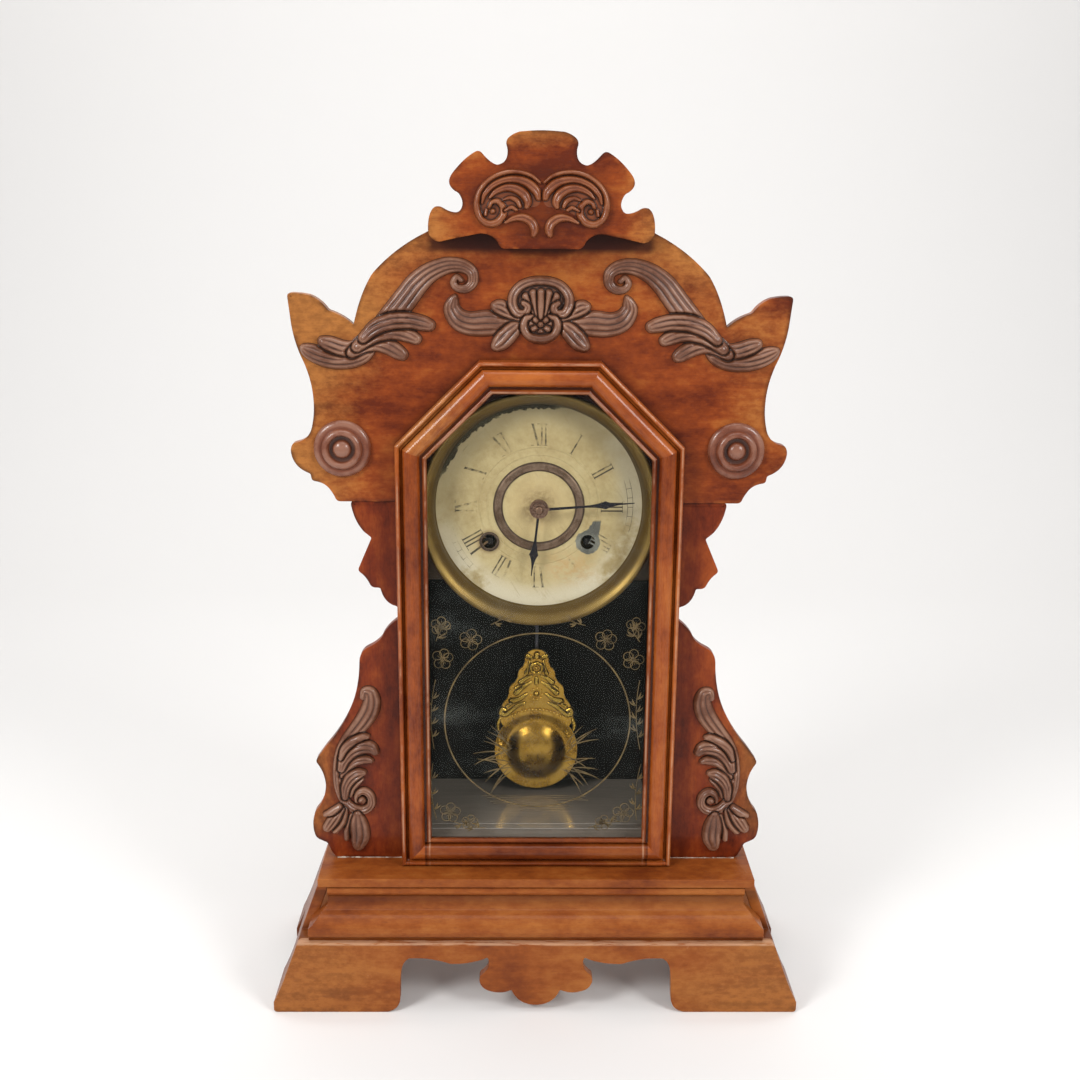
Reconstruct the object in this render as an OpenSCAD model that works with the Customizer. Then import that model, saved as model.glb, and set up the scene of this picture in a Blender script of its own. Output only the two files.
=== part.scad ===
// Gingerbread clock: an American eight-day kitchen clock that strikes the hours on a gong.
// Lengths are in millimetres. X is to the right, Y to the back and Z up. The origin lies on the floor
// under the middle of the clock.

/* [Base] */
// Width over the front feet
base_w = 344; // [336:1:360]
// Height of the base under its top board
base_h = 84.5; // [82:0.5:95]
// How far the apron stands in front of the head board
base_reach = 40; // [37:0.5:46]
// Height of the apron with its feet
apron_h = 50.5; // [49:0.5:52]
// Thickness of the apron
apron_t = 7; // [5:0.5:8]
// Thickness of the sloping side boards of the base
base_side_t = 7.5; // [6:0.5:9]
// Width of the top board of the base
top_board_w = 284.6; // [278:1:290]
// Thickness of the top board of the base
top_board_t = 6; // [5:0.5:8]
// How far the top board reaches in front of the head board
top_board_reach = 29; // [27:0.5:31]
// Thickness of the moulding behind its bead
moulding_t = 5.4; // [5:0.2:7]

/* [Case] */
// Outer width of the box behind the front boards
case_w = 168; // [162:1:176]
// Height of the box above the base
case_h = 340.5; // [336:0.5:350]
// Depth of the box between its front boards and its back board
case_d = 71; // [69:0.5:80]
// Thickness of the sides and the top of the box
case_t = 7; // [6:0.5:8]
// Thickness of the case floor
floor_t = 8; // [6:0.5:9]
// Height of the case floor's upper face above the base
floor_h = 21.5; // [19:0.5:22]
// Thickness of the back board
back_t = 6; // [5:0.5:8]
// Thickness of the head board
head_t = 8; // [7.4:0.2:10]
// Drop of the head board's lower edge below the top of the box
head_drop = 95.7; // [94:0.1:98]
// Thickness of the fretted side boards
side_board_t = 7; // [6:0.2:7.4]
// Thickness of the crest board
crest_t = 6; // [5:0.5:8]
// Gap that the cleat keeps between the crest and the head board
crest_gap = 3.4; // [3:0.2:5]
// Height of the crest's foot above the head board's lower edge
crest_z = 155.2; // [154:0.2:158]
// Relief of the carvings at their highest
carving_t = 5; // [4:0.2:6]
// Radius of the turned rosettes
rosette_r = 17.7; // [15:0.1:18.5]
// Height of the rosettes in front of the head board
rosette_t = 6.6; // [5:0.2:8]

/* [Door] */
// Width of the door
door_w = 177.4; // [176.6:0.1:178]
// Drop of the door's top edge below the top of the box
door_drop = 6.8; // [5.5:0.1:9]
// Height of the door's slanted corners
door_corner_h = 51.7; // [49:0.1:55]
// Width of the door's top edge
door_top_w = 74; // [68:1:80]
// Thickness of the door at the top of its moulding
door_t = 14.8; // [14:0.2:16]
// Width of the door's moulding
rail_w = 19.5; // [19:0.1:20.5]
// Width of the wood beside the glass rebate
rebate_edge = 12.6; // [12:0.1:13]
// Thickness of the glass
glass_t = 2; // [1.8:0.1:2.2]
// Thickness of the strips that hold the glass
strip_t = 2.2; // [1.4:0.1:2.4]
// Gap between the door and the base under it
door_gap = 0.7; // [0.5:0.1:1.2]
// Height of one hinge
hinge_h = 30; // [24:1:36]
// Outer radius of the hinge knuckles
knuckle_r = 1.3; // [1.2:0.05:1.35]
// Radius of the hinge pins
hinge_pin_r = 0.7; // [0.5:0.05:0.75]

/* [Dial] */
// Drop of the dial's centre below the top of the box
dial_drop = 100.7; // [99.5:0.1:102]
// Radius of the paper dial
dial_r = 64; // [62:0.2:65]
// Thickness of the dial plate
dial_t = 0.8; // [0.6:0.1:1]
// Depth of the paper behind the head board's face
dial_depth = 10; // [9:0.2:10.6]
// Outer radius of the bezel
bezel_r = 75; // [74:0.1:75.2]
// Wall of the brass bezel
bezel_t = 0.8; // [0.6:0.1:1]
// Middle radius of the brass ring on the dial
centre_ring_r = 26; // [22:0.5:27]
// Sideways place of the two winding holes
winding_x = 31.4; // [31.2:0.1:32]
// Drop of the winding holes below the dial's centre
winding_drop = 23; // [22.8:0.1:23.6]
// Radius of the winding holes
winding_hole_r = 4.7; // [4.2:0.1:5]

/* [Hands] */
// Length of the minute hand
minute_l = 60; // [54:0.5:62]
// Length of the hour hand
hour_l = 44; // [38:0.5:48]
// Thickness of both hands
hand_t = 0.6; // [0.4:0.1:0.8]
// Where the minute hand points, clockwise from twelve
minute_angle = 85.5; // [0:0.5:360]
// Where the hour hand points, clockwise from twelve
hour_angle = 186; // [0:0.5:360]

/* [Movement] */
// Width of the movement's plates without their lugs
plate_w = 100; // [98:1:104]
// Height of the movement's plates
plate_h = 106; // [105:0.5:110]
// Thickness of the movement's plates
plate_t = 1.6; // [1.4:0.1:2]
// Space between the movement's plates
plate_gap = 26; // [26:0.2:27]
// Space between the head board's back and the front plate
plate_depth = 13.5; // [13:0.1:14]
// Radius of the corner pillars
pillar_r = 3; // [2.5:0.1:3.2]
// Space between the movement's plates and the cleats that carry it
cleat_gap = 6; // [5.5:0.1:8]
// Thickness of the wheels
wheel_t = 1.2; // [1:0.1:1.4]
// Radius of the arbors of the trains
arbor_r = 1.2; // [1:0.05:1.3]
// Radius of the centre arbor that carries the minute hand
centre_arbor_r = 1.6; // [1.4:0.05:1.65]
// Radius of the winding arbors
winding_arbor_r = 3; // [2.8:0.05:3.1]
// Width of the mainsprings
spring_w = 17; // [15:0.5:17.4]
// Thickness of the mainsprings
spring_t = 0.5; // [0.4:0.05:0.6]
// Radius of the escape wheel
escape_r = 14; // [13.8:0.05:14.2]
// Running clearance of an arbor in its hole
running_fit = 0.05; // [0.02:0.01:0.08]

/* [Pendulum] */
// Radius of the bob's disc
bob_r = 29; // [26:0.5:30]
// Height of the bob's centre above the case floor
bob_z = 32; // [31.5:0.5:36]
// Radius of the pendulum rod
rod_r = 1.2; // [1:0.05:1.3]
// Distance of the rod behind the movement's back plate
rod_depth = 10; // [9:0.2:10.4]

/* [Gong] */
// Radius of the gong's outer turn
gong_r = 32; // [30:0.5:34]
// Radius of the gong's wire
gong_wire_r = 1.1; // [0.9:0.05:1.3]
// Distance of the gong in front of the back board
gong_depth = 7.5; // [7:0.1:8]
// Drop of the gong's centre below the dial's centre
gong_drop = 67; // [66:0.5:70]

/* [Hidden] */
$fn = 64;
fit = 0.3;
turn_steps = 6;

// Planes from the front to the back
base_d = base_reach + head_t + case_d + back_t;
apron_y = -base_d / 2;
head_y = apron_y + base_reach;
case_y = head_y + head_t;
side_board_y = case_y - side_board_t;
back_y = case_y + case_d;
door_back_y = head_y - 0.5;
door_front_y = door_back_y - door_t;
glass_y = door_back_y - 8;
crest_y = head_y - crest_gap - crest_t;
dial_y = head_y + dial_depth;
plate_y = case_y + plate_depth;
inner_y = plate_y + plate_t;
back_plate_y = inner_y + plate_gap;
rod_y = back_plate_y + plate_t + rod_depth;
gong_y = back_y - gong_depth;

// Heights from the floor up
base_top = base_h + top_board_t;
case_top_z = base_top + case_h;
floor_top = base_top + floor_h;
head_foot = case_top_z - head_drop;
crest_foot = head_foot + crest_z;
door_foot = base_top + door_gap;
door_h = case_top_z - door_drop - door_foot;
stile_h = door_h - door_corner_h;
dial_centre = case_top_z - dial_drop;
case_half = case_w / 2;
inner_half = case_half - case_t;
foot_half = base_w / 2;
top_half = top_board_w / 2;
cleat_x = plate_w / 2 + cleat_gap;
dial_seat_r = dial_r + 1.4;

// Trains: wheel modules, teeth and the places of the arbors round the dial's centre
main_m = 0.65;
main_teeth = 64;
leaf_teeth = 8;
second_m = 0.6;
second_teeth = 50;
centre_leaves = 10;
third_m = 0.5;
centre_teeth = 54;
third_teeth = 52;
strike_teeth = 50;
warning_m = 0.45;
warning_teeth = 44;
fly_leaves = 7;
motion_m = 0.6;
hour_m = 0.48;
cannon_leaves = 10;
minute_teeth = 30;
hour_teeth = 40;
centre_at = [0, dial_centre];
time_at = centre_at + [winding_x, -winding_drop];
strike_at = centre_at + [-winding_x, -winding_drop];
escape_at = centre_at + [0, 27.5];
second_at = meet(centre_at, mesh_r(second_m, second_teeth, centre_leaves),
                 time_at, mesh_r(main_m, main_teeth, leaf_teeth));
third_at = meet(escape_at, mesh_r(third_m, third_teeth, leaf_teeth),
                centre_at, mesh_r(third_m, centre_teeth, leaf_teeth));
strike_second_at = strike_at + polar(mesh_r(main_m, main_teeth, leaf_teeth), 100);
warning_at = strike_second_at + polar(mesh_r(third_m, strike_teeth, leaf_teeth), 70);
fly_at = warning_at + polar(mesh_r(warning_m, warning_teeth, fly_leaves), 80);
motion_at = centre_at + [0, -mesh_r(motion_m, cannon_leaves, minute_teeth)];
hammer_at = centre_at + [-27, -42];

// Depths of the wheels behind the front plate's inner face
main_d = 20.9;
ratchet_d = main_d - 1.6;
spring_d = 1.4;
second_d = 23.6;
centre_wheel_d = 16.4;
third_d = 11.4;
escape_d = 6.4;

// Escapement: the pallets span six and a half teeth
escape_teeth = 24;
pallet_half = 6.5 / 2 * 360 / escape_teeth;
verge_at = escape_at + [0, escape_r / cos(pallet_half)];
pallet_dip = 0.5;
tooth_depth = 2.5;

// Ratchets: a tooth for each twelfth of a turn
ratchet_teeth = 12;
ratchet_r = 8;
click_at = [13.2, 2.4];

// Plates and their pillars
plate_foot = dial_centre - 50;
plate_top = plate_foot + plate_h;
pillar_x = plate_w / 2 - 4;
pillar_low = plate_foot + 6;
pillar_high = plate_top - 6;
lug_l = 12;
lug_h = 12;
lug_zs = [plate_foot + lug_h / 2 + 2, plate_top - lug_h / 2 - 6];
lug_screw_x = cleat_x + 4.5;
screw_r = 1.5;

// Pendulum
bob_at = floor_top + bob_z;
bob_t = 4;
rod_foot = bob_at - 26;
nut_z = bob_at - 22;
nut_h = 4;
nut_r = 2.6;
suspension_pin_r = 1;
crutch_z = verge_at[1] - 40;

// Hinges
hinge_x = door_w / 2 - 1;
hinge_y = door_back_y - 0.9;
leaf_t = 0.8;
hinge_zs = [door_foot + 39.3, door_foot + stile_h - 62.5];

// Geometry helpers
function polar(r, a) = r * [cos(a), sin(a)];
function unit(v) = v / norm(v);
function inward(a, b) = let (u = unit(b - a)) [-u[1], u[0]];
function arc(c, r, from, to, n = 8) = [for (i = [0:n]) c + polar(r, from + (to - from) * i / n)];
function flipped(p) = [for (i = [len(p) - 1:-1:0]) [-p[i][0], p[i][1]]];
function reversed(p) = [for (i = [len(p) - 1:-1:0]) p[i]];
function shifted(p, d) = [for (q = p) q + d];
function stretched(p, k) = [for (q = p) [q[0], q[1] * k]];
function bend(a, c, b, n) = [for (i = [1:n]) let (t = i / n)
    a * (1 - t) * (1 - t) + 2 * c * t * (1 - t) + b * t * t];
// An outline's step is a corner [x, z], or [x, z, cx, cz] for a curve drawn towards cx, cz
function trace(s) = [for (i = [0:len(s) - 1]) each len(s[i]) == 2 ? [s[i]]
    : bend([s[i - 1][0], s[i - 1][1]], [s[i][2], s[i][3]], [s[i][0], s[i][1]], turn_steps)];
function both_halves(p) = concat(p, [for (q = flipped(p)) if (abs(q[0]) > 0.001) q]);
// An outline drawn in by d on all sides, with its points anticlockwise
function inset(p, d) = [for (i = [0:len(p) - 1]) let (n = len(p),
    a = inward(p[(i + n - 1) % n], p[i]), b = inward(p[i], p[(i + 1) % n]))
    p[i] + d * (a + b) / (1 + a * b)];
// The point at distance r from p and s from q, on the left of the way from p to q
function meet(p, r, q, s) = let (d = norm(q - p), a = (r * r - s * s + d * d) / (2 * d),
    h = sqrt(r * r - a * a), u = unit(q - p)) p + a * u + h * [-u[1], u[0]];
function mesh_r(m, n1, n2) = m * (n1 + n2) / 2;
function bearing(p, q) = atan2(q[1] - p[1], q[0] - p[0]);

// A flat piece whose outline is drawn in X and Z, from y to y + t
module board(y, t) {
    translate([0, y + t, 0]) rotate([90, 0, 0]) linear_extrude(t) children();
}
// A piece turned round the Y axis, with its profile drawn as [radius, y]
module turned(at) {
    translate([at[0], 0, at[1]]) rotate([-90, 0, 0]) rotate_extrude() children();
}
module rod(at, y, l, r) {
    translate([at[0], y, at[1]]) rotate([-90, 0, 0]) cylinder(h = l, r = r);
}
module bar(from, to, y, r) {
    d = to - from;
    translate([from[0], y, from[1]]) rotate([0, 90 - atan2(d[1], d[0]), 0])
        cylinder(h = norm(d), r = r);
}
module both_sides() {
    children();
    mirror([1, 0, 0]) children();
}

// Wheels: a trapezoid tooth points at the angle given, or a gap does
module gear_shape(m, n, tooth) {
    pitch = 360 / n;
    polygon([for (i = [0:n - 1]) let (a = tooth + i * pitch, r = m * n / 2) each [
        polar(r - 1.05 * m, a - 0.31 * pitch), polar(r + 0.75 * m, a - 0.11 * pitch),
        polar(r + 0.75 * m, a + 0.11 * pitch), polar(r - 1.05 * m, a + 0.31 * pitch)]]);
}
module gear(at, y, t, m, n, tooth) {
    translate([at[0], y + t, at[1]]) rotate([90, 0, 0]) linear_extrude(t) gear_shape(m, n, tooth);
}
function gap_at(n, a) = a + 180 / n;
// Spokes are left between round windows
module windows(at, y, t, r, size, n) {
    for (i = [0:n - 1]) rod(at + polar(r, i * 360 / n + 20), y - 1, t + 2, size);
}
// A strip wound in half turns, each a little wider than the last
module winding_strip(step, first, halves) {
    for (i = [0:halves - 1]) translate([i % 2 * step, 0, 0]) rotate([0, 0, i % 2 * 180])
        rotate_extrude(angle = 180) translate([first + i * step, 0]) children();
}

// Base

// X on the slope of the base's ends: share 0 is under the top board and 1 is at the foot
function slope_x(share) = top_half + 0.5 + (foot_half - top_half - 0.5) * share;
shoulder_x = slope_x(0.418);
waist_x = slope_x(0.71);

module base_top_board() {
    color("peru") translate([-top_half, head_y - top_board_reach, base_h])
        cube([top_board_w, top_board_reach - base_reach + base_d, top_board_t]);
}

apron_half = trace([[0, apron_h], [shoulder_x, apron_h], [waist_x, 27],
    [foot_half, 7, foot_half - 5, 17], [foot_half, 2.5], [foot_half - 2.5, 0, foot_half, 0],
    [foot_half - 74, 0], [foot_half - 83, 9, foot_half - 82, 1.5], [foot_half - 83.5, 24],
    [foot_half - 90, 39.5, foot_half - 84, 38], [foot_half - 98, 39.5], [56, 35.6, 66, 39],
    [40, 37.2, 47, 35.2], [31.8, 40.3, 34.5, 38.5], [31, 34, 30, 37], [37, 26.5, 31.5, 30.5],
    [29.5, 15.3, 37.8, 17.5], [16, 16.5, 22, 13.2], [0, 5.3, 11.5, 5.3]]);

module base_front() {
    color("sienna") board(apron_y, apron_t) polygon(both_halves(apron_half));
}

// The slope of the side boards carries on the apron's outer edge
base_side_line = trace([[slope_x(0), base_h], [shoulder_x, apron_h], [waist_x, 27],
    [foot_half, 7, foot_half - 5, 17], [foot_half, 0]]);

module base_side() {
    outline = concat(base_side_line, reversed(shifted(base_side_line, [-base_side_t, 0])));
    foot_l = 34;
    front = apron_y + apron_t;
    back = apron_y + base_d;
    difference() {
        board(front, back - front) polygon(outline);
        translate([0, front - 1, apron_h])
            cube([base_w, moulding_y + moulding_t - front + 1, base_h]);
        translate([0, front + foot_l, -1]) cube([base_w, back - front - 2 * foot_l, 19]);
        translate([0, front + foot_l + 8, 0])
            cube([base_w, back - front - 2 * foot_l - 16, 26]);
        for (y = [front + foot_l + 8, back - foot_l - 8])
            translate([0, y, 18]) rotate([0, 90, 0]) cylinder(h = base_w, r = 8);
    }
}
module base_sides() {
    color("saddlebrown") both_sides() base_side();
}

// The moulding's profile is drawn as [distance in front of its back, z]
moulding_y = head_y - top_board_reach + 2.1;
moulding_reach = 11.8;
moulding_line = trace([[moulding_t, base_h - 0.5], [moulding_t, base_h - 6.5,
    moulding_t + 4.2, base_h - 3.5], [moulding_t - 0.8, base_h - 6.9],
    [moulding_t + 2, base_h - 16.5, moulding_t - 2.2, base_h - 12.5],
    [moulding_t + moulding_reach, base_h - 27, moulding_t + 11, base_h - 18.5],
    [moulding_t + moulding_reach, base_h - 30],
    [moulding_t + 9.1, apron_h, moulding_t + 9.5, base_h - 31.5]]);

// Its ends are straight at the bead and then slope out to the foot of the profile
module base_moulding() {
    end_half = top_half - 6;
    end_line = [[0, base_h - 0.5], [end_half, base_h - 0.5], [end_half, base_h - 13],
        [end_half + moulding_reach, base_h - 25], [end_half + moulding_reach, apron_h], [0, apron_h]];
    back_line = [[0, apron_h], [0, base_h - 0.5]];
    back = moulding_y + moulding_t;
    color("chocolate") intersection() {
        translate([-base_w / 2, back, 0]) rotate([90, 0, 90]) linear_extrude(base_w)
            polygon(concat(back_line, [for (p = moulding_line) [-p[0], p[1]]]));
        board(apron_y - 5, base_reach)
            polygon(both_halves(end_line));
    }
}

// Cleats, glue blocks and the rail behind the base's moulding
module wood_blocks() {
    cleat_z = plate_foot - 2;
    block = 14;
    rail_y = moulding_y + moulding_t;
    rail_t = 8;
    glue_gap = 0.3;
    rail_end = [[0, base_h], [slope_x(0) - base_side_t, base_h], [shoulder_x - base_side_t, apron_h],
        [0, apron_h]];
    color("burlywood") {
        both_sides() difference() {
            translate([cleat_x, inner_y, cleat_z]) cube([inner_half - cleat_x, 16, plate_h + 4]);
            for (z = lug_zs) rod([lug_screw_x, z], inner_y - 1, 12, screw_r);
        }
        both_sides() for (y = [rail_y + rail_t + glue_gap, apron_y + base_d - block])
            translate([top_half - base_side_t - block - 0.5, y, apron_h])
                cube([block, block, base_h - apron_h]);
        board(rail_y, rail_t) polygon(both_halves(rail_end));
        board(crest_y + crest_t, crest_gap) translate([-40, crest_foot + 11]) square([80, 18]);
    }
}

// Case

back_screws = [for (x = [-case_half + case_t / 2, case_half - case_t / 2], i = [0:2])
    [x, base_top + 30 + i * (case_h - 60) / 2]];

module back_board() {
    color("tan") difference() {
        board(back_y, back_t) translate([-case_half, base_top]) square([case_w, case_h]);
        for (p = back_screws) rod(p, back_y - 1, back_t + 2, screw_r);
    }
}
module case_sides() {
    color("sienna") difference() {
        both_sides() translate([inner_half, case_y, base_top]) cube([case_t, case_d, case_h]);
        for (p = back_screws) rod(p, back_y - 9, 10, screw_r);
    }
}
module case_top() {
    color("peru") translate([-inner_half, case_y, case_top_z - case_t])
        cube([2 * inner_half, case_d, case_t]);
}
module case_floor() {
    color("tan") translate([-inner_half, case_y, floor_top - floor_t])
        cube([2 * inner_half, case_d, floor_t]);
}

// The inner edges of the front boards leave room for the dish of the dial
opening_r = bezel_r - 4.2;

module front_rail() {
    color("peru") board(side_board_y, side_board_t) translate([-opening_r, base_top])
        square([2 * opening_r, floor_h]);
}

// The head board's outline starts at the middle of its arch. X is counted from the case's side.
head_half = shifted(trace([[-case_half, 183.5], [-16.5, 164.7, -46, 183.5], [17, 139.7, 4, 154.7],
    [29, 109.3, 24.5, 128.7], [44, 118, 35, 115.2], [55, 126.9, 48.5, 124.5],
    [68.5, 128, 62, 128.5], [67, 113.7], [61.6, 90.7, 66, 101.7], [54.6, 62.7, 55, 76.7],
    [56.6, 45.3, 54.2, 53.7], [65.5, 37.3, 59, 38.7], [69.8, 34.2, 69, 36.7],
    [58, 17.5, 70, 21.7], [57.3, 13], [46.6, 8, 50, 12.5], [42.5, 0, 43, 3.2], [-case_half, 0]]),
    [case_half, head_foot]);

module head_board() {
    color("sienna") difference() {
        board(head_y, head_t) polygon(both_halves(head_half));
        rod(centre_at, head_y - 1, head_t + 2, opening_r);
    }
}

// The fret of a side board: the upper wing hangs from the head board, the lower stands on the base
fret_scale = (head_foot - base_top) / 244.8;
upper_fret = trace([[34, 0], [26, -19.6, 32.5, -12.3], [21.3, -23.5], [30.7, -45.3],
    [22.1, -56.2, 25.3, -48], [16.5, -56.4], [6.6, -68.6, 14.5, -66.5], [2, -72]]);
lower_fret = trace([[2, 169], [6.6, 167.1, 4, 168.8], [16.2, 155.5, 14, 161.5],
    [25, 148.5, 19, 151.5], [31, 139.5, 30.3, 146], [36.3, 110, 31.5, 122.5],
    [54.5, 79.8, 42, 94.5], [61.8, 69.3], [55.4, 52.5, 56, 62.5], [62.8, 33.5, 55.5, 42.5],
    [62.8, 14, 66.5, 23.5], [55.5, 10.5], [50, 0, 53.5, 4.5]]);

module side_board() {
    outline = concat([[opening_r, head_foot]],
        shifted(stretched(upper_fret, fret_scale), [case_half, head_foot]),
        shifted(stretched(lower_fret, fret_scale), [case_half, base_top]), [[opening_r, base_top]]);
    difference() {
        board(side_board_y, side_board_t) polygon(outline);
        rod(centre_at, side_board_y - 1, side_board_t + 2, opening_r);
    }
}
module side_boards() {
    color("brown") difference() {
        both_sides() side_board();
        for (z = hinge_zs) translate([hinge_x - 10, side_board_y - 1, z - hinge_h / 2])
            cube([11.2, leaf_t + 1, hinge_h]);
    }
}

crest_half = trace([[0, 67], [12.5, 66.3], [21.5, 60.5, 18.5, 65], [20.4, 52.5, 19.5, 56.5],
    [26, 47.7, 21.5, 48.3], [36.5, 56, 30, 48], [52, 43, 44.5, 52.5], [48.7, 31.5, 57.5, 36],
    [48.5, 21, 44.2, 25.5], [60, 24.5, 53, 19.5], [66.7, 12.5, 66.2, 24], [60, 3.8, 67.2, 4.5],
    [36, 8.7, 48, 6.5], [26, 4, 29.5, 8.7], [21.7, 0, 24.5, 0.2], [0, 0]]);

module crest_board() {
    color("peru") board(crest_y, crest_t)
        polygon(both_halves(shifted(crest_half, [0, crest_foot])));
}

// Carvings, drawn on their board with the relief along their own Z

module on_board(y) {
    translate([0, y, 0]) rotate([90, 0, 0]) children();
}
// A domed leaf from p to q, w wide
module leaf(p, q, w, h = carving_t) {
    l = norm(q - p);
    side_r = (l * l + w * w) / (4 * w) * 1.02;
    dome_r = (l * l / 4 + h * h) / (2 * h);
    translate([(p[0] + q[0]) / 2, (p[1] + q[1]) / 2, 0]) rotate([0, 0, bearing(p, q)])
        intersection() {
            translate([0, side_r - w / 2, 0]) cylinder(h = h, r = side_r);
            translate([0, w / 2 - side_r, 0]) cylinder(h = h, r = side_r);
            translate([0, 0, h - dome_r]) sphere(r = dome_r);
        }
}
// A half-round stem bent round c, from one angle to another
module stem(c, r, w, from, to) {
    translate([c[0], c[1], 0]) rotate([0, 0, from]) rotate_extrude(angle = to - from)
        polygon([for (p = arc([0, 0], 1, 0, 180, 6)) [r + p[0] * w / 2, p[1] * carving_t * 0.8]]);
}
module boss(c, r, h = carving_t) {
    dome_r = (r * r + h * h) / (2 * h);
    translate([c[0], c[1], 0]) intersection() {
        cylinder(h = h, r = r);
        translate([0, 0, h - dome_r]) sphere(r = dome_r);
    }
}

// Crest carving: a pair of C-scrolls in an oval, drawn from the crest's foot
module crest_carving() {
    color("maroon") on_board(crest_y) translate([0, crest_foot, 0]) both_sides() {
        stem([25, 27.5], 12, 6, -110, 150);
        boss([27.3, 21.6], 5.5);
        leaf([20, 41], [-4, 28], 9);
        leaf([25, 34], [4, 33.5], 8);
        leaf([27, 14.5], [-3.5, 12.4], 8);
        leaf([19, 24.5], [3, 16], 7);
    }
}

// Head carvings: a palmette in the middle and a feathered spray on each side, from the head's foot
module palmette() {
    boss([0, 124.5], 13);
    boss([0, 108], 9.5);
    both_sides() {
        leaf([6, 110], [50, 106], 13);
        leaf([10, 116], [38, 121], 10);
        stem([48, 114.5], 7, 6, -100, 130);
        leaf([9, 108], [28, 95.5], 9);
    }
}
module spray() {
    stem([46, 138.7], 6.5, 6.5, 60, 330);
    stem([54, 110.7], 36, 8.5, 12, 95);
    leaf([82, 124], [118, 97], 9);
    leaf([100, 112], [63, 113], 11);
    leaf([103, 106], [71, 101.5], 11);
    leaf([107, 101], [80, 90], 11);
    leaf([102, 95], [132, 101], 11);
    leaf([100, 91], [146, 95], 15);
}
module head_carvings() {
    color("maroon") on_board(head_y) translate([0, head_foot, 0]) {
        palmette();
        translate([case_half - 84, 0, 0]) spray();
        mirror([1, 0, 0]) translate([case_half - 84, 0, 0]) spray();
    }
}

// Side carvings: acanthus leaves, with X from the case's side and Z from the base
module acanthus() {
    stem([26, 114.5], 4.5, 6, 40, 250);
    leaf([23, 120], [38, 88], 13);
    leaf([32, 100], [50, 66], 10);
    stem([28, 62], 22, 6, -63, 55);
    leaf([46, 80], [17.5, 78], 13);
    leaf([46, 68], [19.5, 73], 9);
    leaf([44, 66], [25, 55], 11);
    stem([30, 41.5], 7.5, 6.5, 60, 345);
    leaf([37, 42], [58, 20], 13);
    leaf([34, 34], [31, 5], 14);
}
module side_carvings() {
    color("maroon") both_sides() on_board(side_board_y) translate([case_half, base_top, 0])
        acanthus();
}

rosette_at = [case_half + 37.7, head_foot + 33.7];

module rosettes() {
    r = rosette_r;
    t = rosette_t;
    color("maroon") both_sides() turned(rosette_at) polygon([for (p = concat([[0, 0]],
        [[r, 0]], arc([r - 4, t - 3.4], 4, 0, 90), arc([r - 6, t + 0.6], 1.2, -90, -180, 4),
        [[9, t - 1.6], [8, t - 3.4], [5.4, t - 3.4]], arc([0, t - 3.4], 5.2, 30, 90), [[0, t - 1]]))
        [p[0], head_y - min(p[1], t)]]);
}

// Door

door_outline = [[-door_w / 2, door_foot], [door_w / 2, door_foot],
    [door_w / 2, door_foot + stile_h], [door_top_w / 2, door_foot + door_h],
    [-door_top_w / 2, door_foot + door_h], [-door_w / 2, door_foot + stile_h]];
// The moulding is drawn as [distance from the outer edge, height in front of the door's back]
rebate_d = door_back_y - glass_y;
torus_r = (rail_w - 8.9) / 2;
door_profile = concat([[0, 0]], arc([1.4, door_t - 4], 1.4, 180, 0), [[2.8, door_t - 5.2],
    [4.6, door_t - 5.2]], arc([4.6 + torus_r, door_t - torus_r], torus_r, 180, 0, 16),
    [[4.6 + 2 * torus_r, rebate_d + 1], [rail_w - 2.9, rebate_d + 1]],
    arc([rail_w - 1.45, door_t - 4.4], 1.45, 180, 0), [[rail_w, rebate_d],
    [rebate_edge, rebate_d], [rebate_edge, 0]]);

// Side i of the door, mitred at both ends
module door_side(i) {
    inner = inset(door_outline, rail_w);
    j = (i + 1) % len(door_outline);
    a = door_outline[i];
    b = door_outline[j];
    u = unit(b - a);
    intersection() {
        board(door_front_y - 1, door_t + 2) polygon([a, b, inner[j], inner[i]]);
        multmatrix([[-u[1], 0, -u[0], b[0]], [0, -1, 0, door_back_y], [u[0], 0, -u[1], b[1]],
            [0, 0, 0, 1]]) mirror([0, 0, 1]) translate([0, 0, -norm(b - a)])
            linear_extrude(norm(b - a)) polygon(door_profile);
    }
}
module door_bottom_rail() {
    color("chocolate") door_side(0);
}
module door_top_rail() {
    color("chocolate") door_side(3);
}
module door_stiles() {
    color("chocolate") {
        difference() {
            door_side(1);
            for (z = hinge_zs) translate([0, 0, z - hinge_h / 2]) {
                translate([hinge_x - 1.9, hinge_y - 1.9, -fit])
                    cube([4, 4, hinge_h + 2 * fit]);
                translate([hinge_x - 10, door_back_y - leaf_t, 0]) cube([9, 2, hinge_h]);
            }
        }
        door_side(5);
    }
}
module door_diagonals() {
    color("chocolate") {
        door_side(2);
        door_side(4);
    }
}
module door_glass() {
    color("lightcyan", 0.4) board(glass_y, glass_t) polygon(inset(door_outline, rebate_edge + fit));
}
module glass_strips() {
    color("peru") difference() {
        board(glass_y + glass_t, strip_t) polygon(inset(door_outline, rebate_edge));
        board(glass_y + glass_t - 1, strip_t + 2) polygon(inset(door_outline, rebate_edge + 2.8));
    }
}

// Butt hinges with their knuckles hidden behind the door's right edge

knuckle_h = hinge_h / 3;

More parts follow.
